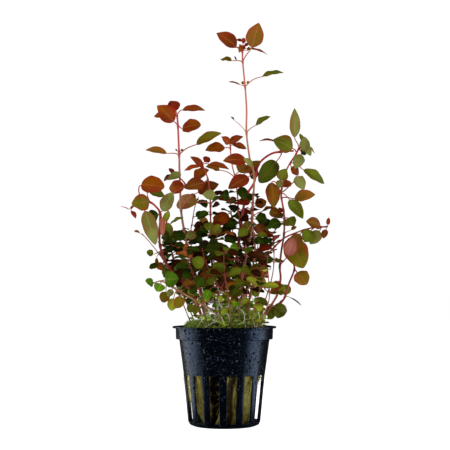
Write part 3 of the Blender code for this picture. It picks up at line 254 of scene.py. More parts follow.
# %% Stem routes
STEMS = {           # column, row and depth of the places of each stem
    "tall": (
        (233, 338, -4), (236, 318, -5), (241.5, 301, -6), (241.5, 285, -5), (244, 266, -4),
        (247.5, 248, -2), (251.5, 229, 0), (252.3, 210, 1), (254, 186, 2), (253.8, 172, 2), (250, 160, 2),
        (246.5, 133, 1), (246.6, 110, 1), (245.1, 87, 0), (242.7, 62, 0), (242.4, 50.5, 0),
    ),
    "left_tall": (
        (214, 338, 6), (209, 318, 8), (202, 295, 10), (194, 270, 12), (188, 250, 12), (184, 230, 10),
        (181, 210, 8), (180, 185, 6), (179.4, 168, 5), (179.1, 155, 4), (177.9, 126, 2), (177, 115, 1),
    ),
    "mid": (
        (240, 338, 9), (244, 318, 10), (246.5, 290, 10), (247, 265, 9), (244.5, 245, 8), (240.5, 230, 8),
        (238.5, 212, 9), (237.5, 195, 9), (235.2, 178, 8), (232.3, 166, 7), (230.8, 155, 7),
        (230.3, 145, 7),
    ),
    "inner_mid": (
        (228, 338, 12), (230, 315, 14), (233, 290, 15), (233.4, 262, 14), (232.6, 236, 12), (232, 222, 11),
        (230.8, 210, 10), (229.4, 197, 9),
    ),
    "cluster": (
        (219, 338, -1), (217, 318, -2), (214, 295, -1), (212, 268, 0), (211, 240, 0), (210.5, 215, -1),
        (210.4, 204, -2), (209.6, 190, -3), (207.9, 179, -4), (205, 171, -5), (202, 164, -6),
    ),
    "left_arch": (
        (207, 338, -7), (203, 322, -9), (197, 303, -11), (190, 290, -14), (180, 279.5, -17),
        (171, 270, -19), (165.5, 262, -20), (160.5, 248, -21), (159.2, 233, -21), (160.3, 219, -20),
        (159.8, 212, -20), (155.7, 206.4, -21), (150.2, 202.3, -23), (142, 201.5, -26), (134, 205.5, -28),
        (131, 208, -29),
    ),
    "left_red": (
        (206, 338, 3), (205, 322, 1), (200, 299, -2), (188.8, 287.4, -5), (183.2, 278.2, -6),
        (176, 266, -7), (173.3, 258, -7), (170, 246, -6), (167.5, 238, -5), (166.5, 225, -4),
        (168.5, 208, -2), (173.6, 193, 0), (180, 189, 1), (185.3, 186, 1), (183, 181, 2), (177, 176, 2),
    ),
    "left_pale": (
        (226, 338, -13), (222, 322, -16), (212, 310, -20), (200.1, 303.4, -24), (190.3, 297.6, -27),
        (180.3, 291.6, -29), (169, 285.3, -30), (161.4, 281, -31), (153.5, 283, -32),
    ),
    "left_out": (
        (200, 338, 9), (193, 318, 11), (184, 297, 12), (174, 277, 11), (166, 264, 9), (159, 254, 7),
        (152, 245, 5), (146, 238, 4), (141.9, 234, 3),
    ),
    "right": (
        (247, 338, -3), (254.5, 323, -4), (265, 314.5, -6), (272, 304, -8), (277.5, 294, -9),
        (280.6, 279, -10), (279.8, 266.6, -10), (281.5, 250, -9), (283.8, 236, -8), (284.4, 219, -7),
        (283, 207, -6), (281.3, 197, -6), (281.5, 190, -5), (284, 178, -4), (287, 169, -3),
        (290.5, 162.6, -3), (296, 154, -3), (299, 148, -3),
    ),
    "right_low": (
        (243, 338, -11), (247, 318, -14), (250, 295, -17), (256, 275, -19), (264.5, 259, -20),
        (274, 247.5, -19), (281.5, 240, -17), (288, 236, -17), (303.5, 230, -16), (313.5, 227.6, -15),
        (322, 227, -14), (328, 226.5, -14),
    ),
    "right_arch": (
        (238, 338, 2), (238.5, 318, 2), (236.5, 295, 2), (236, 270, 3), (238.5, 245, 4), (241.5, 220, 4),
        (244, 205, 4), (247.5, 193.4, 4), (253.8, 183.4, 6), (256, 174, 7), (258.3, 165, 8),
        (264.3, 158.2, 8), (272.7, 153.2, 7), (280.4, 151.8, 6), (288, 151, 5), (293.5, 151, 4),
    ),
    "right_low2": (
        (251, 338, 4), (258, 322, 3), (269, 311, 1), (281.3, 301.8, -1), (285.1, 296.5, -2),
        (289, 283.5, -3), (294.3, 269.7, -4), (292.8, 262, -4), (288, 250, -4), (286, 243, -4),
    ),
    "second": (
        (236, 338, -10), (238, 318, -11), (240.3, 304.4, -12), (246, 293, -12), (249.2, 285.7, -11),
        (252.2, 272.7, -9), (253.8, 259, -7), (254.9, 247, -6), (253.5, 232, -5), (252, 224, -5),
    ),
    "cross": (
        (239, 338, -17), (239.5, 318, -19), (238, 304, -21), (231.7, 297.6, -22), (226, 293.5, -23),
        (219, 286, -24), (213.3, 278, -24), (208, 268, -24), (204, 257, -24), (202, 248, -23),
    ),
    "centre_red": (
        (222, 338, -9), (222, 318, -10), (219.6, 301.6, -11), (218.5, 293, -12), (216.2, 283.8, -13),
        (214.5, 270, -14), (214, 255, -14), (216, 242, -14), (218, 232, -13),
    ),
    "left_inner": (
        (211, 338, 12), (207, 318, 14), (201, 295, 16), (195, 272, 17), (191.5, 250, 17), (191, 230, 16),
        (192.2, 222.8, 15), (194.7, 207.4, 13), (198.5, 197, 12),
    ),
    "back_left": (
        (205, 338, 15), (200, 315, 19), (192, 290, 24), (185, 268, 28), (181, 250, 31), (180, 236, 32),
    ),
    "back_mid": (
        (222, 338, 17), (220, 315, 22), (217, 290, 27), (213, 265, 31), (211, 242, 33), (212, 226, 34),
    ),
    "back_right": (
        (240, 338, 16), (246, 315, 21), (252, 290, 27), (256, 265, 31), (258, 243, 33), (258, 226, 33),
    ),
    "right_back": (
        (250, 338, 11), (259, 316, 15), (267, 295, 19), (273, 272, 22), (274, 250, 24), (272, 232, 25),
    ),
    "front_left": (
        (211, 338, -12.5), (206, 318, -17), (202, 298, -20), (195, 280, -25), (189, 262, -29),
        (186, 248, -31),
    ),
    "front_mid": (
        (231, 338, -17), (231, 320, -22), (229, 302, -27), (226, 284, -31), (224, 266, -34),
        (224, 252, -35),
    ),
    "front_right": (
        (247, 338, -13), (252, 318, -18), (257, 300, -23), (262, 283, -27), (266, 268, -30),
        (268, 256, -31),
    ),
    "left_back": (
        (197, 338, 1), (188, 316, 3), (180, 297, 4), (172, 284, 3), (165, 272, 1), (160, 262, 0),
    ),
    "far_right": (
        (253, 338, -9), (262, 318, -12), (268, 304, -14), (269.5, 292.6, -15), (268.3, 275.8, -16),
        (268, 270, -15),
    ),
    "right_side": (
        (282.5, 192, -6.5), (285.6, 189.6, -7), (293.6, 182, -8), (297.5, 178, -9),
    ),
}
PALE_STEMS = ("tall", "left_tall", "left_pale", "left_out", "mid", "second", "far_right", "right_back")


class Path:
    """A smooth line through a few places, read by the length along it."""

    STEPS = 8

    def __init__(self, places):
        ends = [places[0] * 2 - places[1], *places, places[-1] * 2 - places[-2]]
        self.line = []
        for before, start, end, after in zip(ends, ends[1:], ends[2:], ends[3:]):
            for step in range(self.STEPS):
                t = step / self.STEPS
                bend = (before * 2 - start * 5 + end * 4 - after) * t * t
                twist = (start * 3 - before - end * 3 + after) * t * t * t
                self.line.append((start * 2 + (end - before) * t + bend + twist) / 2)
        self.line.append(places[-1])
        self.marks = [0.0]
        for start, end in zip(self.line, self.line[1:]):
            self.marks.append(self.marks[-1] + (end - start).length)
        self.length = self.marks[-1]

    def at(self, along):
        """The place at a length; the line goes straight on past its ends."""
        index = min(max(bisect.bisect_right(self.marks, along) - 1, 0), len(self.line) - 2)
        share = (along - self.marks[index]) / (self.marks[index + 1] - self.marks[index])
        return self.line[index].lerp(self.line[index + 1], share)

    def heading(self, along):
        """The direction of the line at a length."""
        return (self.at(along + 0.8) - self.at(along - 0.8)).normalized()

    def nearest(self, column, row):
        """The length at which the line shows nearest to a column and row."""
        def miss(index):
            across, down = seen(self.line[index])
            return (across - column) ** 2 + (down - row) ** 2
        return self.marks[min(range(len(self.line)), key=miss)]


paths = {name: Path([spot(*place) for place in route]) for name, route in STEMS.items()}
print(len(paths), "stems,", round(sum(path.length for path in paths.values()) / 1000, 2), "m in all")

# %% [markdown]
# ## Leaves, traced one by one
# A leaf is where its stalk leaves the stem, where the blade starts, where it ends, how wide it is and
# which way it looks. Leaves of this plant stand in opposite pairs, but light and crowding turn them, so
# the ones that show were traced, and only the hidden inner ones follow a rule.

# %% Traced leaves
LEAVES = {          # stalk's foot, start and tip with depths, width, turn, tint; name and light of a solid
    "tall": (
        (242.7, 61.5, 251.5, 47.5, -3, 258.9, 22.5, -5, 9.8, 80, "olive", "top_right", 0.42),
        (242.4, 51.5, 236.3, 47, -1, 216.3, 33, -2, 9.2, 65, "red_brown", "top_left", 0.34),
        (242.4, 50.8, 249.5, 48.8, 3, 267.8, 55, 7, 3.6, 35, "red_brown", "top_side", 0.6),
        (242.4, 50.5, 242, 46.5, -3, 239.2, 52.6, -6, 3.2, 75, "red_brown"),
        (242.4, 49.5, 242, 41.2, 1, 235.6, 39.4, 3, 2.4, 60, "dark_red"),
        (242.6, 50, 244.5, 46, -1, 249.4, 43.4, -1, 2.2, 60, "dark_red"),
        (242.7, 62.3, 231.5, 60.8, 1, 220, 59.3, 3, 5.5, 40, "green_edged", "upper_left"),
        (245.3, 87, 262, 76.8, -2, 284, 72.8, -4, 6.5, 35, "green", "upper_right"),
        (245.3, 87.5, 240.5, 85, 1, 228, 81.8, 2, 1.8, 40, "red_brown"),
        (246.2, 131.5, 255.8, 125.3, -1, 270.6, 116.2, -3, 5.5, 40, "green", "tall_right"),
        (246.4, 131.5, 234, 120, 0, 230.5, 116.5, 0, 2, 30, "green"),
        (250.3, 161.5, 246.5, 161, -4, 223, 160.5, -7, 8, 60, "orange", "tall_front", 0.45),
        (252, 167, 252.5, 166, -9, 243.5, 158.5, -11, 4.2, 60, "grey_green"),
        (254, 174, 248.5, 177, -4, 228.3, 188.6, -9, 8, 65, "red_brown", "tall_brown", 0.35),
        (252.2, 216.5, 262, 211.5, 0, 275, 207.5, -2, 5, 30, "brown"),
        (252.2, 217.5, 248, 221, -2, 245, 237.7, -3, 5.5, 50, "green"),
        (251.8, 207, 255.5, 206, 2, 266.5, 201, 3, 6.5, 65, "brown"),
        (252.2, 213, 256, 217.5, 2, 267.5, 220.5, 4, 7, 70, "dark_green"),
        (252.2, 221.5, 256, 224.5, 3, 262, 233, 5, 6.5, 75, "brown"),
        (246.9, 250, 238.5, 248, -4, 230, 247.8, -6, 5, 60, "bright_green"),
        (244.5, 262, 232, 254.7, -3, 214, 248.5, -6, 7.5, 60, "dark_green"),
        (244, 264.5, 231.5, 259.5, -3, 219.5, 263, -6, 6.5, 50, "brown"),
        (241.5, 283, 239.5, 279, -2, 234.5, 286.3, -3, 4, 70, "bright_green"),
    ),
    "left_tall": (
        (177.9, 126, 174, 121.5, -3, 157, 105.5, -6, 10, 75, "red_brown", "left_crown_big", 0.75),
        (177, 115.5, 172, 115.5, 2, 153.6, 116, 5, 6, 55, "red_brown"),
        (177, 115, 176, 111, 2, 170.2, 100.5, 4, 7.5, 60, "dark_red", "left_crown_top", 0.6),
        (177, 115.5, 182.4, 109.8, 0, 205.4, 110.8, -2, 7, 42, "red_brown", "left_crown_right", 0.6),
        (178, 126.4, 182.4, 128.8, -3, 201, 125, -7, 8.4, 65, "orange", "left_crown_oblong", 0.4),
        (179.1, 155.5, 166.7, 153.3, -1, 145.5, 149.6, -3, 6, 45, "olive", "left_long_left", 0.5),
        (179.1, 155.5, 196.4, 144.5, -1, 221.6, 133, -3, 8, 45, "green_edged", "left_long_right", 0.5),
        (181, 210, 198, 192.5, -6, 219, 184, -9, 8, 65, "red_brown", "left_inner", -0.35),
        (184, 230, 185, 235, -2, 173, 238.5, -3, 7, 60, "dark_green"),
        (187, 245, 196.5, 234, -2, 186, 237.5, -4, 6, 60, "grey_green"),
        (188, 250, 193, 258, -3, 199.5, 266.5, -5, 6, 80, "green"),
    ),
    "left_red": (
        (185.2, 184, 184.5, 187, 2, 168.8, 188.5, 6, 8, 80, "orange"),
        (178, 176.5, 181, 173.5, -1, 167.2, 180, -3, 5, 60, "grey_green"),
        (177, 176, 173.5, 173.7, 2, 169, 168, 3, 3, 50, "dark_red"),
        (185.3, 186, 194.2, 178.3, -1, 209, 169.5, -3, 7.5, 55, "orange"),
        (167.5, 238, 169.5, 236.5, -3, 168.3, 222.7, -4, 4.5, 60, "green"),
        (166.5, 225, 170.5, 224, -1, 183.3, 217.4, -3, 4.5, 30, "green"),
        (168, 240, 165.5, 240.5, -4, 172.5, 243, -8, 6, 75, "dark_green"),
        (170, 246, 178, 247.5, -2, 192, 257, -5, 8, 75, "olive"),
    ),
    "left_arch": (
        (142, 201.5, 141.2, 185, -1, 164.6, 187, -3, 10, 70, "orange", "arch_dome", 0.4),
        (150.2, 202.3, 149, 202, -2, 131.5, 204, -5, 9, 85, "green_edged", "arch_round", 0.35),
        (131.5, 207.5, 128.7, 209.3, 0, 120.3, 206.5, -1, 2, 0, "red"),
        (132, 207.5, 131.3, 211, 0, 135.8, 218.3, -1, 3, 30, "red"),
        (160, 212.5, 162.5, 211, -2, 172.8, 192.3, -4, 7, 70, "grey_green", "arch_green", 0.4),
        (143, 201.5, 145, 211, -3, 155.6, 245, -5, 7.8, 80, "grey_green", "arch_hanging", 0.6),
        (160, 213.5, 158.5, 214.5, 2, 146, 222, 6, 8.5, 65, "dark_green"),
        (150.2, 202.5, 149, 192, 4, 165, 196, 6, 5, 60, "green"),
        (160.3, 216, 162, 217.5, -2, 162.4, 236, -2, 3.6, 40, "pink"),
    ),
    "cluster": (
        (210.4, 204.4, 197, 203, 5, 176, 203.5, 17, 9.5, 80, "olive", "cluster_olive", 0.75),
        (207.9, 179, 205, 183, -2, 184.3, 188.5, -5, 8.5, 60, "brown", "cluster_brown", 0.55),
        (210.4, 205, 216, 196, -5, 202.5, 194.5, -8, 6, 75, "grey_green"),
        (210.4, 206.5, 212, 203, -4, 220, 198.5, -8, 5.5, 70, "dark_green"),
        (202.5, 165, 203, 167, -2, 190.3, 156.5, -5, 4.6, 60, "red_brown"),
        (202.5, 165, 209, 164, -3, 229.4, 169.8, -5, 5, 45, "red_brown"),
        (202, 164, 204.5, 162, 2, 209, 157, 4, 4.5, 75, "dark_red"),
        (203, 166.5, 200.5, 166.5, 1, 184, 170.8, 3, 4.5, 40, "red_brown"),
        (210.5, 213, 208, 212, -2, 197.3, 219.5, -4, 5, 45, "dark_green"),
        (210.8, 228, 206, 223, -2, 212, 231, -5, 5.5, 70, "green"),
    ),
    "mid": (
        (235.2, 178, 219.8, 170, -6, 205.5, 166.5, -9, 6, 45, "brown"),
        (230.3, 145.6, 229.5, 143.5, -1, 243.5, 136.3, -3, 6, 50, "red_brown"),
        (230.3, 146, 229, 144, -4, 221.5, 136.5, -6, 5, 60, "red_brown"),
        (230.3, 146.5, 232.5, 145, 1, 246.6, 148.8, 2, 5, 50, "red_brown"),
        (230.2, 148.5, 224.8, 147.6, -2, 205, 150.3, -5, 7.5, 55, "orange", "mid_left", 0.45),
        (235, 177, 238.5, 172, 3, 246, 164, 6, 7.5, 80, "olive"),
        (235.3, 179.5, 246, 173, -2, 260, 160.5, -4, 6, 50, "brown"),
    ),
    "inner_mid": (
        (229.4, 197, 229, 196.5, -1, 219.8, 194.3, -4, 6.5, 80, "dark_green"),
        (231, 214, 228, 214, -3, 213, 226, -6, 7.5, 70, "orange"),
    ),
    "right_arch": (
        (280.4, 151.8, 275, 141.5, 2, 258.6, 140.8, 4, 5, 20, "red_brown"),
        (281, 152, 276.3, 161.5, -4, 259.5, 182.5, -8, 9.5, 85, "green", "arch_right_hanging", -0.45),
        (258.3, 165, 256.5, 168, -3, 251.5, 179, -5, 5.4, 70, "brown"),
        (247.5, 193.4, 240.5, 187, -3, 244.5, 200.5, -5, 6, 60, "dark_green"),
    ),
    "right": (
        (296, 153, 292.5, 148.3, -3, 273.3, 139.5, -6, 10, 80, "green", "right_crown_front", 0.55),
        (299, 148, 294.5, 137.5, -2, 294.5, 108, -3, 6, 85, "grey_green", "right_crown_up", 0.8),
        (299, 148, 304, 151, -3, 304.8, 136.5, -5, 6, 75, "grey_green"),
        (299, 148, 304.5, 146.5, -1, 311, 156, -2, 4.2, 60, "grey_green"),
        (299, 148.5, 306, 146, 2, 314.8, 153.5, 4, 3.6, 40, "grey_green"),
        (299, 149, 301, 154.5, -4, 294.8, 169, -7, 6.5, 75, "grey_green"),
        (290.5, 162.6, 303.5, 170, 1, 324.4, 184, 3, 7, 55, "green", "right_drooping", 0.75),
        (290.5, 162.6, 291, 167, 2, 298.5, 175.5, 4, 5, 70, "red_brown"),
        (282, 187, 271.5, 182.5, -3, 273.8, 208, -5, 8, 75, "brown"),
        (284, 178, 280, 180, -3, 286.5, 168.8, -6, 6.5, 75, "green"),
        (281.5, 190, 282.5, 187, 1, 291, 182, 3, 5.5, 55, "red_brown"),
        (281.3, 197.6, 294.5, 198.6, -2, 315.3, 194.5, -5, 7.5, 60, "olive", "right_olive", 0.5),
        (281.4, 192.5, 289.5, 199.8, -3, 303, 219, -6, 6.8, 75, "green", "right_green", 0.65),
        (284.4, 219, 288, 218, -2, 294, 226, -5, 6.5, 85, "green"),
        (284.4, 219, 282, 218, 2, 275.5, 214.5, 5, 5.5, 50, "green"),
        (279.8, 266.6, 288, 255.5, -5, 293.2, 237.8, -9, 7, 75, "pink"),
        (283.3, 211, 280, 213, 5, 269, 213.5, 8, 6.5, 65, "brown"),
        (284.4, 222, 280.5, 222, -2, 268.5, 226.5, -4, 6.5, 70, "dark_green"),
    ),
    "right_side": (
        (297, 178.5, 296, 176.5, -3, 303.8, 190.3, -5, 6.5, 70, "grey_green"),
    ),
    "right_low": (
        (322, 227, 320.5, 226, -1, 306, 221.7, -4, 7, 65, "brown"),
        (313.5, 227.6, 311, 230.5, -3, 304.5, 242, -6, 8, 85, "green"),
        (321.5, 227, 319.5, 231, -2, 310, 244, -5, 6.5, 80, "grey_green"),
        (327.5, 226.5, 327.8, 225, 0, 328.8, 217.5, 0, 2.2, 20, "red_brown"),
        (326, 227, 326, 229.5, -1, 323, 238.4, -2, 3.5, 50, "brown"),
        (303.5, 230, 300, 234, 2, 287, 255.5, 5, 8, 80, "olive"),
        (264.5, 259, 264.5, 262, -2, 273.5, 259, -4, 4.5, 60, "dark_green"),
    ),
    "right_low2": (
        (287, 246, 289, 238.5, -2, 303.4, 268.3, -5, 13.2, 85, "green_edged", "low_right_big", 0.55),
        (294.3, 269.7, 297, 272.5, -3, 307, 284.5, -6, 8.6, 85, "olive", "low_right_round", 0.55),
        (286, 294, 284.5, 295, 4, 284.5, 284.3, 8, 7, 85, "light_green"),
        (281.3, 301.8, 281.5, 303.5, -2, 277.5, 318.2, -5, 7.5, 85, "green"),
    ),
    "far_right": (
        (268, 276, 258.5, 276.5, -2, 261.3, 289, -4, 6.5, 85, "light_green"),
        (269.5, 292.6, 279, 281.5, -2, 272.5, 292, -4, 5, 60, "brown"),
    ),
    "second": (
        (253.8, 259, 256.5, 263.5, -1, 265.5, 277.3, -4, 8, 85, "olive"),
        (252.2, 224, 247.5, 230, -2, 238, 236, -4, 5.5, 60, "green"),
    ),
    "left_pale": (
        (161.4, 281, 165, 280, -2, 178.3, 278.5, -5, 8.5, 85, "bright_green", "low_left_green", -0.5),
        (154, 283, 153, 284.3, 0, 145.2, 281, -1, 5, 60, "bright_green"),
        (161.4, 281, 161, 284, -3, 157.5, 291.8, -6, 6, 75, "bright_green"),
        (167, 284.5, 166, 292, -2, 163, 302.5, -4, 5.5, 85, "green_edged"),
        (178, 290.3, 173.7, 298.6, -2, 171, 310.6, -4, 5.5, 85, "light_green"),
        (183, 293.2, 182, 297, -2, 175.8, 308, -4, 5.5, 80, "green_edged"),
        (196, 301, 194, 305, -2, 188.5, 312, -3, 5, 60, "green"),
    ),
    "left_out": (
        (158, 252.5, 153, 254.5, 0, 146.6, 251.5, -1, 4, 70, "green"),
        (166, 264, 164.5, 265, -2, 157, 268.5, -4, 5, 70, "orange"),
        (142.3, 234.5, 139.5, 233, 0, 133.8, 231, 0, 2.8, 30, "olive"),
    ),
    "centre_red": (
        (217.2, 236, 214, 234, -2, 219.5, 224.5, -4, 6, 80, "green"),
        (214.3, 252, 208, 246, -2, 220, 245.5, -4, 7.5, 75, "dark_green"),
    ),
    "cross": (
        (209, 270, 212.5, 269.5, -2, 225.8, 268, -5, 7.5, 75, "green"),
        (204.5, 258.5, 203, 266, -2, 192.5, 259, -4, 7, 75, "green"),
        (212, 276, 203, 277.5, -2, 196.5, 285.5, -4, 6.5, 70, "dark_green"),
        (219, 286, 209.5, 290, -2, 205, 299.3, -4, 5, 80, "bright_green"),
    ),
}
print(sum(len(table) for table in LEAVES.values()), "traced leaves")

# %% Leaves that stand in pairs
PAIRS = {           # pairs, the stretch of stem as shares of its length, blade length in mm and tint
    "back_left": (3, 0.48, 0.99, 9, "green"),
    "back_mid": (4, 0.4, 0.99, 9, "olive"),
    "back_right": (4, 0.4, 0.99, 9, "dark_green"),
    "right_back": (3, 0.45, 0.99, 9, "green"),
    "front_left": (3, 0.5, 0.99, 8, "dark_green"),
    "front_mid": (3, 0.48, 0.99, 8, "green"),
    "front_right": (3, 0.45, 0.82, 7.5, "light_green"),
    "left_back": (3, 0.45, 0.96, 5.8, "dark_green"),
    "left_inner": (3, 0.4, 0.98, 8.5, "dark_green"),
    "inner_mid": (3, 0.4, 0.85, 8.5, "dark_green"),
    "mid": (3, 0.35, 0.7, 8.5, "green"),
    "centre_red": (2, 0.6, 0.98, 7.5, "brown"),
    "second": (2, 0.55, 0.9, 7.5, "green"),
    "right_arch": (2, 0.35, 0.52, 8, "dark_green"),
    "cluster": (2, 0.4, 0.6, 8, "dark_green"),
    "left_tall": (2, 0.22, 0.34, 8, "green"),
    "tall": (1, 0.3, 0.36, 7.5, "green"),
    "right": (2, 0.2, 0.28, 6.5, "green"),
    "right_low2": (1, 0.32, 0.4, 6, "green"),
    "left_out": (1, 0.55, 0.7, 7, "green"),
}
PAIR_SEED = 12
PAIR_START = 1.8                # length of a stalk
PAIR_WIDTH = 0.72               # width of a blade, as a share of its length
PAIR_SIZES = (0.8, 1.15)
PAIR_SWINGS = (0.0, 0.5, -0.5, 1.0)
PAIR_RISE = (0.0, 0.5)
PAIR_TIP_RISE = (-0.5, 0.1)
PAIR_FACINGS = (20, 75)
print(sum(row[0] for row in PAIRS.values()), "pairs at most")

# %% [markdown]
# ## Finding room for every leaf
# Traced leaves have true columns and rows but guessed depths, so two may cut through each other. Each
# leaf is tried at its own depth first, then nearer and further in small steps, until a slightly swollen
# copy of it touches nothing. A bounding volume tree answers that quickly. The solids were laid out by the
# same rule with the same numbers, so both come out alike.

# %% One leaf and its stand-in
STALK_RADIUS = 0.38
LEAF_THICKNESS = 0.5
LEAF_FOLD = 0.10                # how far the edges rise, as a share of the width
LEAF_BOW = 0.07                 # how far the middle rises, as a share of the length
SIDE_LEAN = 0.1                 # how far the blades turn to the right, where the light came from
STALK_CLEAR = 1.6               # a stalk is felt for from this far off the stem's middle
STALK_REACH = 0.5
LARGE_BLADE = ((0.0, 0.10), (0.13, 0.62), (0.33, 0.99), (0.60, 0.90), (0.85, 0.50))
MIDDLE_BLADE = ((0.0, 0.10), (0.28, 0.96), (0.64, 0.86))
SMALL_BLADE = ((0.32, 0.96), (0.68, 0.80))


def tube_faces(rings, sides):
    """The faces between rings of corners that follow each other."""
    return [(low + k, low + (k + 1) % sides, low + sides + (k + 1) % sides, low + sides + k)
            for low in range(0, (rings - 1) * sides, sides) for k in range(sides)]


def fan_faces(first, sides, point):
    """The faces from a ring of corners to one point."""
    return [(first + k, first + (k + 1) % sides, point) for k in range(sides)]


class Leaf:
    """A blade between two places, with a stalk that joins it to its stem."""

    def __init__(self, along, base, start, tip, width, normal, tint, outline, name=None, mood=None):
        self.along, self.base, self.start, self.tip = along, base, start, tip
        self.width, self.tint, self.outline, self.name, self.mood = width, tint, outline, name, mood
        axis = (tip - start).normalized()
        self.normal = (normal - axis * normal.dot(axis)).normalized()
        self.side = self.normal.cross(axis)

    def ring(self, share, width_share, swell):
        """Four corners of the blade: an edge, the top, the other edge, the underside."""
        length = (self.tip - self.start).length
        rise = LEAF_BOW * length * 4 * share * (1 - share)
        middle = self.start.lerp(self.tip, share) + self.normal * rise
        half = max(self.width * width_share / 2, STALK_RADIUS) + swell
        edge = self.normal * (LEAF_FOLD * half * 2 if width_share > 0.2 else 0.0)
        thick = self.normal * (LEAF_THICKNESS / 2 + swell)
        return [middle + self.side * half + edge, middle + thick,
                middle - self.side * half + edge, middle - thick]

    def shell(self, swell, with_stalk):
        """A closed stand-in, a little larger than the leaf, for finding what it would touch."""
        rings = [self.ring(share, width, swell) for share, width in self.outline]
        if with_stalk:
            reach = (self.start - self.base).normalized()
            clear = self.base + reach * STALK_CLEAR
            aside, over = self.side * STALK_REACH, self.normal * STALK_REACH
            rings.insert(0, [clear + aside, clear + over, clear - aside, clear - over])
        points = [point for ring in rings for point in ring] + [self.tip]
        last = len(points) - 1
        return points, tube_faces(len(rings), 4) + fan_faces(last - 4, 4, last)


def facing(axis, degrees):
    """The normal of a blade along axis: 0 looks up, 90 looks to the front."""
    turn = math.radians(degrees)
    wanted = UP * math.cos(turn) + FRONT * math.sin(turn) + RIGHT * SIDE_LEAN
    return (wanted - axis * axis.dot(wanted)).normalized()


print("a named leaf is stood in for by", len(LARGE_BLADE), "rings of corners")

# %% What stands already
STEM_BASE_RADIUS = 0.72
STEM_TIP_RADIUS = 0.45
PIECE_GAP = 0.35
LOWEST_LEAF = 54.5
SHELL_STEP = 3.0


def stem_radius(path, along):
    """The radius of a packed stem, which tapers evenly."""
    return STEM_BASE_RADIUS + (STEM_TIP_RADIUS - STEM_BASE_RADIUS) * along / path.length


def outward(path, along, turn):
    """The direction straight out of a stem, at a turn round it from the front."""
    heading = path.heading(along)
    front = (FRONT - heading * heading.dot(FRONT)).normalized()
    return front * math.cos(turn) + heading.cross(front) * math.sin(turn)


def stem_shell(path):
    """The tube of a bare stem, for finding what touches it."""
    count = max(2, round(path.length / SHELL_STEP))
    points = []
    for index in range(count + 1):
        along = path.length * index / count
        radius = stem_radius(path, along) + PIECE_GAP
        for turn in (45, 135, 225, 315):
            points.append(path.at(along) + outward(path, along, math.radians(turn)) * radius)
    return points, tube_faces(count + 1, 4)


def box_of(points):
    """The lowest and highest corners of the box round some points."""
    low = Vector(min(point[k] for point in points) for k in range(3))
    high = Vector(max(point[k] for point in points) for k in range(3))
    return low, high


class Thicket:
    """What is placed already, so that a new leaf can find a clear space."""

    def __init__(self, paths):
        self.own, self.others = {}, []
        for name, path in paths.items():
            points, faces = stem_shell(path)
            self.own[name] = BVHTree.FromPolygons(points, faces)
            self.others.append((name, box_of(points), self.own[name]))

    def clear(self, stem, leaf):
        """Whether a leaf of a stem touches nothing; its stalk may touch its own stem."""
        points, faces = leaf.shell(PIECE_GAP, True)
        if min(point.z for point in points) < LOWEST_LEAF:
            return False
        if BVHTree.FromPolygons(*leaf.shell(PIECE_GAP, False)).overlap(self.own[stem]):
            return False
        low, high = box_of(points)
        tree = BVHTree.FromPolygons(points, faces)
        for name, (other_low, other_high), other in self.others:
            apart = any(low[k] > other_high[k] or other_low[k] > high[k] for k in range(3))
            if name != stem and not apart and tree.overlap(other):
                return False
        return True

    def add(self, leaf):
        """Notes that a leaf stands."""
        points, faces = leaf.shell(0.0, True)
        self.others.append((None, box_of(points), BVHTree.FromPolygons(points, faces)))


print(sum(len(stem_shell(path)[1]) for path in paths.values()), "faces stand for the bare stems")

# %% Lay the leaves out
DEPTH_TRIES = (0, -3, 3, -6, 6, -9, 9, -12, 12)
START_SHIFT = 0.4               # share of a leaf's move in depth that its start takes


def traced_leaf(path, entry, shift):
    """A leaf of the LEAVES table, with its tip moved in depth by shift."""
    at_column, at_row, column, row, depth, tip_column, tip_row, tip_depth, width, turn, tint, *more = entry
    along = path.nearest(at_column, at_row)
    base = path.at(along)
    start = spot(column, row, base.y + depth + shift * START_SHIFT)
    tip = spot(tip_column, tip_row, base.y + tip_depth + shift)
    normal = facing((tip - start).normalized(), turn)
    outline = LARGE_BLADE if more else MIDDLE_BLADE
    return Leaf(along, base, start, tip, width, normal, tint, outline, *more)


def paired_leaf(path, along, turn, length, tint, chance):
    """One of a pair of small leaves, pointing away from its stem at a turn round it."""
    reach = (outward(path, along, turn) + UP * chance.uniform(*PAIR_RISE)).normalized()
    base = path.at(along)
    start = base + reach * PAIR_START
    tip = start + (reach + UP * chance.uniform(*PAIR_TIP_RISE)).normalized() * length
    normal = facing((tip - start).normalized(), chance.uniform(*PAIR_FACINGS))
    return Leaf(along, base, start, tip, length * PAIR_WIDTH, normal, tint, SMALL_BLADE)


def lay_out_leaves(paths):
    """Every leaf, by stem: the traced ones first, the named before the small, then the pairs."""
    thicket = Thicket(paths)
    grown = {name: [] for name in paths}

    def take(stem, tries):
        for leaf in tries:
            if thicket.clear(stem, leaf):
                thicket.add(leaf)
                grown[stem].append(leaf)
                return True
        return False

    rows = [(stem, row) for stem, table in LEAVES.items() for row in table]
    for stem, row in sorted(rows, key=lambda entry: len(entry[1]) < 12):
        if not take(stem, (traced_leaf(paths[stem], row, shift) for shift in DEPTH_TRIES)):
            print("no clear space for the leaf", stem, row)
    chance = random.Random(PAIR_SEED)
    for stem, (pairs, first, last, length, tint) in PAIRS.items():
        path = paths[stem]
        turn = chance.uniform(0, math.pi)
        for index in range(pairs):
            share = first + (last - first) * (index / max(pairs - 1, 1))
            for half in (0, math.pi):
                size = length * chance.uniform(*PAIR_SIZES)
                take(stem, [paired_leaf(path, path.length * share, turn + half + swing, size, tint, chance)
                            for swing in PAIR_SWINGS])
            turn += math.pi / 2
    return grown


grown = lay_out_leaves(paths)
print(sum(len(leaves) for leaves in grown.values()), "leaves stand clear of each other")

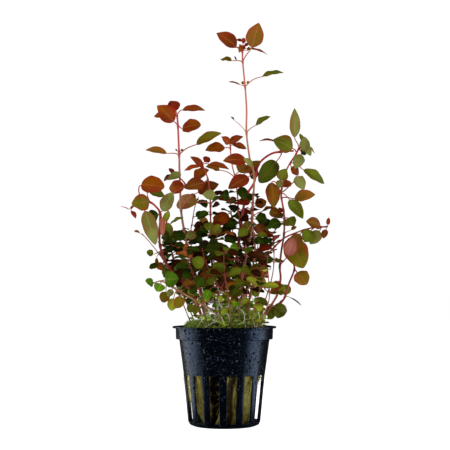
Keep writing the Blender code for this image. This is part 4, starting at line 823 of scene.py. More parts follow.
# %% [markdown]
# ## Small growth that the solids leave out
# Shoot tips carry buds and half-open leaves of a few millimetres, and some joints keep a bare stalk after
# their leaf has dropped. They are too small for the solids, but a shoot without them looks cut off. They
# are written in the same form as the large leaves and take their place without moving any of those.

# %% Buds and small leaves
BUDS = {
    "tall": (
        (242.4, 48, 243.2, 43.5, 0, 243.6, 37.5, 1, 2.6, 70, "red"),
        (242.4, 50, 242, 49.5, -3, 239.2, 44, -4, 2.2, 75, "red_brown"),
        (242.4, 50, 242.7, 49.5, -3, 245.2, 44.5, -4, 2, 75, "red_brown"),
        (242.4, 50, 248.8, 50.4, -2, 248.4, 46.6, -3, 2.2, 75, "brown"),
        (242.4, 50, 236.8, 46.8, 0, 234, 47.2, 0, 2, 60, "dark_red"),
        (242.7, 62, 236.3, 60, 0, 234.2, 56, 0, 1, 60, "shade_green"),
        (245.2, 86, 242.6, 84.5, 0, 242.9, 81, 0, 1.8, 70, "olive"),
        (245.2, 86, 248, 84.3, 0, 248, 80.6, 0, 1.8, 70, "olive"),
        (247, 250, 246.5, 248.5, -3, 252, 252.8, -5, 4, 70, "bright_green"),
    ),
    "left_tall": (
        (179, 152, 177, 151, -1, 175, 149, -2, 1.3, 60, "dark_red"),
        (179, 152, 181, 151, 1, 183, 149, 2, 1.3, 60, "dark_red"),
    ),
    "left_red": (
        (177, 176, 171.5, 175.8, 3, 163.5, 180.8, 6, 4, 50, "dark_red"),
    ),
    "left_arch": (
        (160.3, 219, 164, 222, 2, 169, 211, 4, 3.5, 80, "light_green"),
    ),
    "right_arch": (
        (247.5, 193.4, 247.5, 194, -1, 251.5, 200, -2, 4, 75, "dark_green"),
    ),
    "right": (
        (299, 148, 303.5, 142, 3, 299.5, 133.5, 5, 2.5, 70, "green"),
        (298, 150, 300.5, 150.5, 1, 306.5, 154.5, 2, 4, 70, "dark_green"),
        (283, 180, 279.5, 180, -1, 279, 188.5, -2, 4, 80, "grey_green"),
        (283.3, 210, 280.5, 213, -1, 279, 207.4, -2, 3.5, 70, "dark_red"),
        (284.4, 219, 285.5, 221, -1, 289, 226, -2, 5.5, 75, "green"),
        (284, 233, 291.5, 230, 2, 296.5, 226.5, 3, 2.5, 40, "olive"),
    ),
    "right_side": (
        (298.5, 175, 300, 176.5, 0, 303, 179.5, 0, 2.5, 60, "red"),
    ),
    "right_low2": (
        (276, 306, 268, 307, -2, 273, 318.5, -4, 5.5, 80, "green"),
        (285, 297, 290, 297.5, 0, 301.3, 305.8, 1, 1.2, 40, "dark_green"),
    ),
    "left_pale": (
        (172, 287, 172.5, 290, -2, 167.3, 296.3, -4, 3.5, 80, "grey_green"),
        (196, 301, 197, 306, -2, 194, 314.5, -3, 3.5, 80, "green"),
    ),
    "left_out": (
        (159, 254, 156.5, 258, 0, 157, 267.3, -1, 2, 70, "brown"),
        (167, 265, 166, 263.5, -3, 169.5, 271, -5, 5, 80, "grey_green"),
    ),
    "cross": (
        (206.5, 277.5, 208, 278.5, -2, 214, 283.5, -4, 5, 80, "green"),
    ),
}

for stem, rows in BUDS.items():
    for row in rows:
        grown[stem].append(traced_leaf(paths[stem], row, 0))
print(sum(len(rows) for rows in BUDS.values()), "buds and small leaves")

# %% [markdown]
# ## The thicket
# Low down the plant is a dense, dark mass: side shoots too small to tell apart, with leaves of three to
# nine millimetres in front of, behind and above each other. They follow one rule. A pair stands at a joint of
# a stem, each pair turned a quarter against the last, and a leaf is kept only where it shows inside the
# traced outline of the mass and touches nothing that already stands.

# %% Fill the thicket
MASS = (            # row, and the columns between which the mass shows there
    (190, 222, 248), (200, 204, 264), (210, 196, 274), (226, 194, 278), (234, 160, 281), (250, 159, 276),
    (262, 161, 271), (280, 164, 266), (296, 180, 260), (306, 196, 258), (312, 206, 258), (328, 210, 258),
)
FILL_SEED = 41
FILL_START = 16.0               # the stem below this is bare
FILL_STEP = 4.6
FILL_SPREAD = (0.8, 1.3)        # how far a step strays, as a share of it
FILL_SWINGS = (0.0, 0.6, -0.6)  # turns that a leaf tries
FILL_LENGTHS = (4.5, 9.0)
LOW_ROW = 291                   # below this row the leaves are those of a young lawn
LOW_LENGTHS = (2.8, 5.2)
# leaves nearer the axis than this take the inner tints, which are mostly painted shade
PAINTED_SHADE_REACH = 19.0              # nearer than this to the plant's axis a leaf stands in the shade
# The shade tints, and the dark layers of the middle rows, are painted shade: leaves made darker where the
# thicket shades them.
OUTER_TINTS = (     # the row where a layer ends and the tints that grow in the light above it
    (228, ("brown", "shade_brown", "shade_green", "dark_green", "dark_green")),
    (250, ("shade_brown", "shade_green", "dark_red", "shade_green", "dark_green", "dark_green")),
    (270, ("dark_green", "green", "shade_brown", "shade_green", "dark_green", "shade_brown")),
    (291, ("dark_green", "green", "olive", "brown", "green", "shade_brown")),
    (330, ("light_green", "green", "bright_green", "light_green")),
)
# inner leaves, mostly in the painted shade tints
INNER_TINTS = (
    (228, ("shade_brown", "shade_brown", "dark_green", "shade_green", "dark_red")),
    (268, ("shade_green", "shade_brown", "dark_green", "shade_brown", "shade_green")),
    (291, ("dark_green", "brown", "green", "shade_brown", "olive")),
    (306, ("green", "green", "bright_green", "brown")),
    (330, ("bright_green", "light_green", "green", "light_green")),
)


def tints_at(place):
    """The tints that a leaf may have at a place."""
    table = INNER_TINTS if place.xy.length < PAINTED_SHADE_REACH else OUTER_TINTS
    row = seen(place)[1]
    return next((tints for low, tints in table if row < low), table[-1][1])


def in_mass(place):
    """Whether a place shows inside the outline of the thicket."""
    column, row = seen(place)
    for (top, left, right), (bottom, next_left, next_right) in zip(MASS, MASS[1:]):
        if top <= row <= bottom:
            share = (row - top) / (bottom - top)
            return left + (next_left - left) * share < column < right + (next_right - right) * share
    return False


def fill_thicket(paths, grown):
    """Pairs of small leaves up every stem, as many as find a clear space."""
    crowd = Thicket(paths)
    for leaves in grown.values():
        for leaf in leaves:
            crowd.add(leaf)
    chance = random.Random(FILL_SEED)
    added = 0
    for name, path in paths.items():
        turn = chance.uniform(0, math.pi)
        along = FILL_START + chance.uniform(0, FILL_STEP)
        while along < path.length:
            row = seen(path.at(along))[1]
            for half in (0, math.pi):
                length = chance.uniform(*(LOW_LENGTHS if row > LOW_ROW else FILL_LENGTHS))
                for swing in FILL_SWINGS:
                    leaf = paired_leaf(path, along, turn + half + swing, length, None, chance)
                    leaf.tint = chance.choice(tints_at(leaf.tip))
                    if in_mass(leaf.start) and in_mass(leaf.tip) and crowd.clear(name, leaf):
                        crowd.add(leaf)
                        grown[name].append(leaf)
                        added += 1
                        break
            turn += math.pi / 2
            along += FILL_STEP * chance.uniform(*FILL_SPREAD)
    return added


print(fill_thicket(paths, grown), "leaves fill the thicket")

# %% [markdown]
# ## Growth rules as geometry nodes
# What repeats is grown by geometry nodes. Points carry what one leaf, stem or fibre needs as stored
# values, and one tree turns all of them into a mesh. The helper below gives a tree named inputs, sets
# them by identifier before the first evaluation, ends it in Realize Instances and Set Material, and keeps
# the result as a plain mesh with no modifier left.

# %% A tree that grows a piece
class Growth(Tree):
    """A geometry node tree with named inputs, and the piece that it grows."""

    KINDS = {int: "NodeSocketInt", float: "NodeSocketFloat"}

    def __init__(self, name, **values):
        super().__init__(bpy.data.node_groups.new(name, "GeometryNodeTree"))
        sockets = self.tree.interface
        sockets.new_socket("Start", in_out="INPUT", socket_type="NodeSocketGeometry")
        self.settings = {}
        for key, value in values.items():
            socket = sockets.new_socket(key, in_out="INPUT", socket_type=self.KINDS[type(value)])
            self.settings[socket.identifier] = value
        sockets.new_socket("Grown", in_out="OUTPUT", socket_type="NodeSocketGeometry")
        self.entry = self.tree.nodes.new("NodeGroupInput")

    def given(self, name):
        """One of the tree's inputs."""
        return Number(self, self.entry.outputs[name])

    def stored(self, name, kind="FLOAT"):
        """A value that points carry."""
        return self.add("GeometryNodeInputNamedAttribute", {"data_type": kind}, {"Name": name})

    def store(self, shape, name, value):
        """Keeps a value on the points of a shape."""
        return self.add("GeometryNodeStoreNamedAttribute", {"data_type": "FLOAT", "domain": "POINT"},
                        {"Geometry": shape, "Name": name, "Value": value})

    def scaled(self, vector, factor):
        """A vector times a number."""
        return self.add("ShaderNodeVectorMath", {"operation": "SCALE"}, {"Vector": vector, "Scale": factor})

    def total(self, first, *others):
        """The sum of vectors."""
        for other in others:
            first = self.add("ShaderNodeVectorMath", {"operation": "ADD"}, (first, other))
        return first

    def grow(self, name, start, shape, material):
        """The tree applied to a starting mesh, as a plain piece of its own."""
        real = self.add("GeometryNodeRealizeInstances", values=(shape,))
        painted = self.add("GeometryNodeSetMaterial", values={"Geometry": real, "Material": material})
        outlet = self.tree.nodes.new("NodeGroupOutput")
        self.tree.links.new(painted.socket, outlet.inputs[0])
        piece = show(name, start)
        modifier = piece.modifiers.new(name, "NODES")
        modifier.node_group = self.tree
        for identifier, value in self.settings.items():
            modifier[identifier] = value
        depsgraph = bpy.context.evaluated_depsgraph_get()
        evaluated = piece.evaluated_get(depsgraph)
        mesh = bpy.data.meshes.new_from_object(evaluated, preserve_all_data_layers=True, depsgraph=depsgraph)
        piece.modifiers.remove(modifier)
        piece.data = mesh
        mesh.name = name
        return piece


def point_mesh(name, places, edges=(), **values):
    """Points, in millimetres, that carry numbers or vectors."""
    mesh = bpy.data.meshes.new(name)
    mesh.from_pydata([place * MM for place in places], edges, [])
    for key, column in values.items():
        if isinstance(column[0], Vector):
            store = mesh.attributes.new(key, "FLOAT_VECTOR", "POINT")
            store.data.foreach_set("vector", [number for vector in column for number in vector])
        else:
            mesh.attributes.new(key, "FLOAT", "POINT").data.foreach_set("value", column)
    return mesh


def keep(piece, slot, *nodes):
    """A finished piece rides with the plant and stands for its solids, which are hidden; slot is not used."""
    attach(piece, "root")
    if nodes:
        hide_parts(*nodes)
    triangles = sum(len(face.vertices) - 2 for face in piece.data.polygons)
    print(piece.name, "has", triangles, "triangles")


# %% [markdown]
# ## The finish of a leaf
# A leaf of this plant changes from green to red with the light it gets, is paler underneath, and has a
# pale or reddish midrib with side veins that run forward to a thin edge of another tone. All of that
# follows the blade, not space, so the finish reads values stored along and across each blade. Veins come
# from a saw of the length minus a share of the width, which slants them towards the tip.

# %% Leaf colours and finish
LEAF_TINTS = {      # upper side, its second tone, veins, edge and underside, as shown on a screen
    "olive": ((134, 78, 20), (108, 78, 14), (160, 86, 48), (134, 50, 20), (130, 84, 50)),
    "red_brown": ((122, 46, 4), (90, 32, 0), (156, 60, 34), (118, 22, 10), (144, 56, 40)),
    "red": ((118, 30, 12), (92, 20, 6), (150, 54, 40), (104, 16, 8), (146, 54, 48)),
    "dark_red": ((104, 26, 2), (78, 16, 0), (140, 42, 24), (90, 14, 6), (128, 40, 30)),
    "orange": ((122, 56, 0), (100, 36, 0), (160, 64, 22), (124, 26, 8), (142, 66, 26)),
    "brown": ((104, 56, 6), (78, 38, 2), (136, 70, 32), (92, 28, 8), (112, 66, 40)),
    "green": ((80, 98, 12), (58, 72, 2), (124, 92, 40), (96, 50, 14), (108, 114, 58)),
    "green_edged": ((92, 92, 8), (76, 66, 0), (146, 72, 38), (142, 34, 20), (120, 90, 52)),
    "bright_green": ((82, 128, 4), (56, 98, 0), (134, 156, 50), (84, 104, 16), (116, 144, 50)),
    "light_green": ((130, 138, 28), (104, 114, 12), (160, 154, 70), (112, 90, 20), (144, 144, 64)),
    "dark_green": ((36, 58, 2), (22, 36, 0), (74, 80, 26), (50, 36, 4), (66, 84, 38)),
    "grey_green": ((106, 118, 56), (82, 98, 32), (160, 98, 76), (112, 70, 38), (122, 128, 80)),
    "pink": ((150, 88, 74), (124, 68, 50), (180, 112, 92), (128, 44, 34), (152, 94, 80)),
    # partly the seedlings' own pale yellow-green, partly painted light: made paler to offset the shade of the
    # thicket
    "lawn": ((160, 188, 70), (130, 164, 40), (190, 202, 112), (140, 156, 60), (174, 192, 108)),
    # painted shade: these two near-black tints stand for leaves darkened by the shade of the thicket
    "shade_green": ((20, 34, 0), (10, 20, 0), (48, 56, 16), (28, 20, 0), (36, 48, 16)),
    "shade_brown": ((48, 20, 2), (30, 10, 0), (80, 38, 18), (42, 10, 2), (56, 28, 14)),
}
HEART = paint(86, 84, 0)         # the olive green that stays along the middle of a red blade
HEART_SHARE = {"olive": 0.45, "red_brown": 0.28, "orange": 0.35, "brown": 0.45, "green_edged": 0.2}
SHADE_TINTS = ("shade_green", "shade_brown", "dark_green")
SIDE_VEINS = 5.5
VEIN_SLANT = 1.9


def leaf_finish(tint):
    """Blade colours that follow the veins, with the relief of the veins."""
    upper, second, vein, edge, under = [paint(*colour) for colour in LEAF_TINTS[tint]]
    sheen = 0.04 if tint in SHADE_TINTS else 0.09
    material, tree, shader = new_finish("leaf_" + tint, Specular_IOR_Level=sheen)
    along = tree.attribute("along")
    width = tree.attribute("across").do("ABSOLUTE")
    mood, phase = tree.attribute("mood"), tree.attribute("phase")
    beneath = tree.attribute("layer").ramp(0.0, -0.05)
    saw = (along * SIDE_VEINS - width * VEIN_SLANT + phase * 3).do("FRACT")
    side = (saw - 0.5).do("ABSOLUTE").ramp(0.20, 0.0) * width.ramp(0.95, 0.55)
    midrib = (width + along * 0.05).ramp(0.15, 0.03)
    cloud = tree.grain(120, 0.0).ramp(0.30, 0.70)
    flush = width * 0.7 + (1 - along) * 0.35 + tree.grain(150, 0.0) + phase * 0.4
    rim = (width + tree.grain(500, 1.0) * 0.16).ramp(0.84, 1.04)
    blade = tree.mix(cloud, upper, second)
    blade = tree.mix(flush.ramp(1.25, 0.70) * HEART_SHARE.get(tint, 0.0), blade, HEART)
    blade = tree.mix(flush.ramp(1.20, 1.80) * 0.6, blade, edge)
    blade = tree.mix(beneath, blade, under)
    blade = tree.mix(side * 0.22, blade, vein)
    blade = tree.mix(midrib * 0.55, blade, vein)
    blade = tree.mix(rim * 0.7, blade, edge)
    light = tree.add("ShaderNodeHueSaturation", values={
        "Hue": 0.5, "Saturation": 1.0, "Value": 0.74 + mood * 0.46, "Fac": 1.0, "Color": blade})
    wire(shader, Base_Color=light, Roughness=0.38 + cloud * 0.12 + beneath * 0.14,
         Normal=tree.bump(0.2, 0.0002, side * 0.4 + midrib))
    return material


print(len(LEAF_TINTS), "tints of leaf")

# %% [markdown]
# ## Growing the blades
# Every blade is the same flat grid, bent by rule. Its outline is a power of the length from the base
# times a power of the length from the tip, which gives an oval that is fullest before its middle. The
# middle bows up, the edges fold up a little and ripple, and an upper and an under side meet in a closed
# thin edge. One point for each leaf carries its place, its directions and its sizes.

# %% Grow the blades
ROUND_POWERS = (0.50, 0.60)     # base and tip of the low, old leaves
SLIM_POWERS = (0.68, 0.95)      # base and tip of the pointed leaves near the top
ROUND_BELOW, SLIM_ABOVE = 75.0, 150.0
BLUNT_LEAVES = ("left_crown_oblong", "arch_right_hanging", "arch_dome")
VISIBLE_THICKNESS = 0.26


def outline_powers(leaf, chance):
    """How blunt a blade is at its base and its tip, and the factor that makes its widest place 1."""
    share = ease((leaf.start.z - ROUND_BELOW) / (SLIM_ABOVE - ROUND_BELOW)) + chance.uniform(-0.15, 0.15)
    share *= leaf.name not in BLUNT_LEAVES
    base, tip = [low + (high - low) * share for low, high in zip(ROUND_POWERS, SLIM_POWERS)]
    widest = base / (base + tip)
    return base, tip, 1 / (widest ** base * (1 - widest) ** tip)


def grow_blades(name, leaves, material, rows=15, columns=7):
    """Closed thin blades for a list of leaves, as one piece."""
    rule = Growth(name, Rows=rows, Columns=columns, Thickness=VISIBLE_THICKNESS * MM,
                  Bow=LEAF_BOW, Fold=LEAF_FOLD, Weld=0.000002)
    grid = rule.add("GeometryNodeMeshGrid", values={
        "Size X": 2.0, "Size Y": 1.0, "Vertices X": rule.given("Columns"), "Vertices Y": rule.given("Rows")})
    across = rule.part(rule.add("GeometryNodeInputPosition"), "X")
    row = across.output("Y") + 0.5
    flat = rule.store(grid, "across", across)
    flat = rule.store(flat, "along", 0.5 - (row * math.pi).do("COSINE") * 0.5)
    top = rule.store(flat, "layer", 1.0)
    bottom = rule.add("GeometryNodeFlipFaces", values=(rule.store(flat, "layer", -1.0),))
    both = rule.add("GeometryNodeJoinGeometry")
    for sheet in (top, bottom):
        rule.tree.links.new(sheet.socket, both.socket.node.inputs[0])
    placed = rule.add("GeometryNodeInstanceOnPoints",
                      values={"Points": rule.given("Start"), "Instance": both})
    blades = rule.add("GeometryNodeRealizeInstances", values=(placed,))

    v, u, layer = rule.stored("across"), rule.stored("along"), rule.stored("layer")
    span, half, phase = rule.stored("span"), rule.stored("half"), rule.stored("phase")
    left = 1 - u
    profile = u.do("POWER", rule.stored("base_power")) * left.do("POWER", rule.stored("tip_power"))
    profile = profile * rule.stored("full")
    reach = half * profile
    width = v.do("ABSOLUTE")
    belly = (u * left * 4).do("MAXIMUM", 0.0)
    body = layer * rule.given("Thickness") * 0.5 * (1 - width.do("POWER", 4.0)) * belly.do("POWER", 0.35)
    wave = (u * 13 + phase * 6.3).do("SINE") * width * width * v.do("SIGN")
    swell = (u * 9 + phase * 9).do("SINE") * 0.5
    rise = rule.given("Bow") * belly * span + rule.given("Fold") * width * 2 * reach
    rise = rise + reach * rule.stored("ripple") * (wave + swell * width * width) + body
    rise = rise + reach * v * (u - 0.4) * rule.stored("twist") - span * u * u * rule.stored("droop")
    slide = v * reach * (1 + (u * 17 + phase * 4).do("SINE") * 0.025)
    place = rule.total(rule.stored("place", "FLOAT_VECTOR"),
                       rule.scaled(rule.stored("axis", "FLOAT_VECTOR"), u * span),
                       rule.scaled(rule.stored("side", "FLOAT_VECTOR"), slide),
                       rule.scaled(rule.stored("face", "FLOAT_VECTOR"), rise))
    shaped = rule.add("GeometryNodeSetPosition", values={"Geometry": blades, "Position": place})
    closed = rule.add("GeometryNodeMergeByDistance",
                      values={"Geometry": shaped, "Distance": rule.given("Weld")})
    smooth = rule.add("GeometryNodeSetShadeSmooth", values={"Geometry": closed})

    chance = random.Random(name)
    spans = [(leaf.tip - leaf.start).length for leaf in leaves]
    moods = [chance.random() for _ in leaves]
    moods = [mood if leaf.mood is None else leaf.mood for leaf, mood in zip(leaves, moods)]
    base_powers, tip_powers, fullness = zip(*[outline_powers(leaf, chance) for leaf in leaves])
    start = point_mesh(
        name, [leaf.start for leaf in leaves],
        place=[leaf.start * MM for leaf in leaves],
        axis=[(leaf.tip - leaf.start).normalized() for leaf in leaves],
        side=[leaf.side for leaf in leaves], face=[leaf.normal for leaf in leaves],
        span=[span * MM for span in spans], half=[leaf.width / 2 * MM for leaf in leaves],
        phase=[chance.random() for _ in leaves], mood=moods,
        base_power=base_powers, tip_power=tip_powers, full=fullness,
        ripple=[chance.uniform(0.02, 0.12) for _ in leaves],
        twist=[chance.uniform(-1, 1) * (0.15 if leaf.name else 0.5) for leaf in leaves],
        droop=[chance.uniform(-0.01, 0.04) for _ in leaves])
    piece = rule.grow(name, start, smooth, material)
    piece.data.set_sharp_from_angle(angle=math.radians(60))
    return piece


every_leaf = [leaf for leaves in grown.values() for leaf in leaves]
SLOT_OF_TINT = {"light_green": "bright_green", "dark_green": "green", "pink": "grey_green",
                "shade_green": "green", "shade_brown": "brown", "lawn": "bright_green"}
LEAF_FINISH = {tint: leaf_finish(tint) for tint in LEAF_TINTS}
for tint, finish in LEAF_FINISH.items():
    same = [leaf for leaf in every_leaf if leaf.tint == tint]
    if same:
        nodes = ["leaf_" + leaf.name for leaf in same if leaf.name]
        keep(grow_blades("leaves_" + tint, same, finish), "leaf_" + SLOT_OF_TINT.get(tint, tint), *nodes)

# %% [markdown]
# ## Stems and stalks
# A stem is a line with a thickness at every point: a little thicker low down, and swollen at each joint
# where leaves stand. Leaf stalks bend out of the joints and run on under the blade as its midrib. Both
# are drawn as plain edges that carry a thickness and a redness, and one tree turns edges into tubes.

# %% The finish of the stems
def stem_finish(name, pale, deep, low, dusk=0.0):
    """Smooth living skin: deeper red where the light reaches, another tone where it doesn't.

    The last argument is how far painted shade darkens the skin at the heights of the dense mass, where leaves
    shade the stems.
    """
    material, tree, shader = new_finish(name, Specular_IOR_Level=0.40)
    red = tree.attribute("redness")
    streak = tree.grain(420, 1.0, stretch=(1.0, 1.0, 0.12))
    skin = tree.mix((red + streak * 0.5 - 0.25).do("MAXIMUM", 0.0), paint(*pale), paint(*deep))
    skin = tree.mix(red.ramp(0.35, -0.05), skin, paint(*low))
    skin = tree.mix(tree.attribute("joint") * 0.45, skin, paint(104, 34, 18))
    # painted shade: the skin is darkened between these heights, where the dense mass shades the stems
    height = tree.part(tree.place(), "Z")
    skin = tree.mix(height.ramp(0.122, 0.100) * height.ramp(0.066, 0.085) * dusk, skin, paint(58, 22, 10))
    wire(shader, Base_Color=skin, Roughness=0.38 + streak * 0.16, Normal=tree.bump(0.2, 0.0002, streak))
    return material


STEM_RED = stem_finish("stem_red", (126, 62, 36), (164, 38, 34), (112, 84, 46), dusk=0.5)
STEM_PALE = stem_finish("stem_pale", (168, 114, 90), (176, 52, 54), (146, 106, 74), dusk=0.1)
print("two finishes of stem")

# %% Draw stems and stalks as edges
REDNESS = {         # at the foot, in the middle and at the tip
    "tall": (0.35, 0.15, 0.6), "left_tall": (0.1, 0, 1.2), "mid": (-0.1, 0.3, 0.8),
    "left_pale": (0, 0, 0.2), "left_out": (0.05, 0.1, 0.3), "second": (0.1, 0.2, 0.3),
    "far_right": (0.2, 0.4, 0.6), "right_back": (0.2, 0.4, 0.6), "left_arch": (0.4, 0.8, 1.1),
    "right_arch": (0.2, 0.9, 1.2), "right": (0, 0.5, 1.1), "right_low": (0, 0.4, 0.9),
    "right_low2": (0.4, 0.5, 0.7),
}
PLAIN_REDNESS = (-0.3, 0.25, 0.6)
THICKNESS = {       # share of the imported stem's radius
    "tall": 0.98, "left_tall": 1.12, "right": 0.92, "right_low2": 0.92, "left_arch": 1.1, "right_arch": 1.2,
    "second": 0.85, "mid": 0.8, "right_low": 0.8, "left_pale": 0.75, "left_red": 0.85, "cluster": 0.8,
}
PLAIN_THICKNESS = 0.54
POINT_STEP = 1.1
JOINT_SWELL = 0.42              # how much a joint adds to the radius, as a share of it
JOINT_REACH = 0.9
STALK_STEP = 1.2
STALK_TAPER = 0.10              # how much thinner a stalk is where the blade starts
MIDRIB_RADIUS = 0.24
MIDRIB_SHARES = (0.12, 0.25, 0.4, 0.55, 0.7, 0.82)


class Lines:
    """Edges in millimetres whose points carry a thickness, a redness and a nearness to a joint."""

    def __init__(self):
        self.places, self.edges = [], []
        self.thick, self.red, self.joint = [], [], []

    def draw(self, points):
        """points: place, radius, redness and joint, in order along the line."""
        first = len(self.places)
        for place, radius, red, joint in points:
            self.places.append(place)
            self.thick.append(radius * MM)
            self.red.append(red)
            self.joint.append(joint)
        self.edges += [(k, k + 1) for k in range(first, len(self.places) - 1)]

    def mesh(self, name):
        """The lines as plain edges."""
        return point_mesh(name, self.places, self.edges,
                          thick=self.thick, redness=self.red, joint=self.joint)


def draw_stem(lines, path, leaves, redness, thickness):
    """A stem with its swollen joints."""
    foot, middle, tip = redness
    points = []
    steps = round(path.length / POINT_STEP)
    for index in range(steps + 1):
        along = path.length * index / steps
        near = max((math.exp(-((along - leaf.along) / JOINT_REACH) ** 2) for leaf in leaves), default=0.0)
        radius = stem_radius(path, along) * thickness * (1 + JOINT_SWELL * near)
        share = 2 * along / path.length
        red = foot + (middle - foot) * min(share, 1.0) + (tip - middle) * max(share - 1.0, 0.0) ** 1.6
        points.append((path.at(along), radius, red, near))
    lines.draw(points)


def draw_stalk(lines, leaf, heading, redness):
    """A curved stalk that leaves the stem upwards and runs on under the blade as its midrib."""
    span = (leaf.tip - leaf.start).length
    axis = (leaf.tip - leaf.start).normalized()
    gap = (leaf.start - leaf.base).length
    corners = (leaf.base, leaf.base + ((leaf.start - leaf.base).normalized() + heading * 0.5) * gap * 0.4,
               leaf.start - axis * gap * 0.3, leaf.start + axis * 0.5)
    steps = max(3, round(gap / STALK_STEP))
    size = min(1.0, 0.45 + leaf.width / 16)         # small leaves have thinner stalks
    points = []
    for index in range(steps + 1):
        t = index / steps
        place = Vector((0.0, 0.0, 0.0))
        for corner, weight in zip(corners, ((1 - t) ** 3, 3 * t * (1 - t) ** 2, 3 * t * t * (1 - t), t ** 3)):
            place += corner * weight
        points.append((place, (STALK_RADIUS - STALK_TAPER * t) * size, redness, 0.25))
    for share in MIDRIB_SHARES:
        bow = LEAF_BOW * span * 4 * share * (1 - share)
        place = leaf.start + axis * span * share + leaf.normal * (bow - VISIBLE_THICKNESS * 0.45)
        points.append((place, (MIDRIB_RADIUS - 0.2 * share) * size, redness, 0.0))
    lines.draw(points)


def grow_tubes(name, lines, material, sides=8):
    """Round tubes along edges, as one piece."""
    rule = Growth(name, Sides=sides)
    curve = rule.add("GeometryNodeMeshToCurve", values=(rule.given("Start"),))
    ring = rule.add("GeometryNodeCurvePrimitiveCircle",
                    values={"Resolution": rule.given("Sides"), "Radius": 1.0})
    tube = rule.add("GeometryNodeCurveToMesh", values={
        "Curve": curve, "Profile Curve": ring, "Scale": rule.stored("thick"), "Fill Caps": True})
    smooth = rule.add("GeometryNodeSetShadeSmooth", values={"Geometry": tube})
    piece = rule.grow(name, lines.mesh(name), smooth, material)
    piece.data.set_sharp_from_angle(angle=math.radians(70))
    return piece


pale_lines, red_lines = Lines(), Lines()
for name, path in paths.items():
    lines = pale_lines if name in PALE_STEMS else red_lines
    redness = REDNESS.get(name, PLAIN_REDNESS)
    draw_stem(lines, path, grown[name], redness, THICKNESS.get(name, PLAIN_THICKNESS))
    for leaf in grown[name]:
        draw_stalk(lines, leaf, path.heading(leaf.along), redness[-1] * 0.6)
for kind, lines, finish in (("pale", pale_lines, STEM_PALE), ("red", red_lines, STEM_RED)):
    nodes = ["stem_" + name for name in STEMS if (name in PALE_STEMS) == (kind == "pale")]
    keep(grow_tubes("stems_" + kind, lines, finish), "stem_" + kind, *nodes)

# %% [markdown]
# ## The net pot
# The pot is moulded black plastic, turned in shape, with fourteen slots between ribs so that roots can
# grow out of it. It is modelled as two skins of a turned profile joined at the rim, with the slot faces
# left out and their four walls added. A bevel rounds every moulded edge, because a real edge catches
# light.

# %% Sizes of the pot
RIM_RADIUS = 28.0
POT_HEIGHT = 53.0
SLOT_COUNT = 14
SLOT_SHARE = 0.568
FIRST_SLOT_TURN = 11.0
SLOT_COLUMNS = 6
RIB_COLUMNS = 5
RIB_RELIEF = 0.16
EDGE_ROUND = 0.22
EDGE_ANGLE = math.radians(35)   # a sharper turn than this is an edge
POT_OUTSIDE = (                 # radius and height, base to rim
    (16.5, 0), (18.6, 0.8), (19.4, 2.5), (20.65, 15), (21.9, 27.5), (22.45, 31.6), (24.4, 46.2),
    (26.1, 46.2), (26.3, 52.1), (RIM_RADIUS, 52.1), (RIM_RADIUS, POT_HEIGHT),
)
POT_INSIDE = (                  # radius and height, rim to floor
    (25.4, POT_HEIGHT), (25.2, 47.1), (23.5, 46.9), (21, 27.5), (19.75, 15), (18.5, 2.5), (17.4, 1.2),
)
OPEN_OUTSIDE = (2, 3)           # bands of the outside that the slots open
OPEN_INSIDE = (3, 4)            # the same bands of the inside
RIBBED_RINGS = (2, 3, 4)        # rings of the outside on which the ribs stand proud
SLOT_WIDTH = 2 * math.pi * POT_OUTSIDE[3][0] / SLOT_COUNT * SLOT_SHARE
print("a slot is", round(SLOT_WIDTH, 1), "mm wide at half its height")

# %% The turned skins of the pot
def pot_columns():
    """The turn of every column and whether it is inside an open slot, an edge or a rib."""
    pitch = 2 * math.pi / SLOT_COUNT
    columns = []
    for slot in range(SLOT_COUNT):
        left = math.radians(FIRST_SLOT_TURN) + pitch * (slot - SLOT_SHARE / 2)
        columns += [(left + pitch * SLOT_SHARE * k / SLOT_COLUMNS, True) for k in range(SLOT_COLUMNS)]
        right = left + pitch * SLOT_SHARE
        rest = pitch * (1 - SLOT_SHARE)
        columns += [(right + rest * k / RIB_COLUMNS, False) for k in range(RIB_COLUMNS)]
    return columns


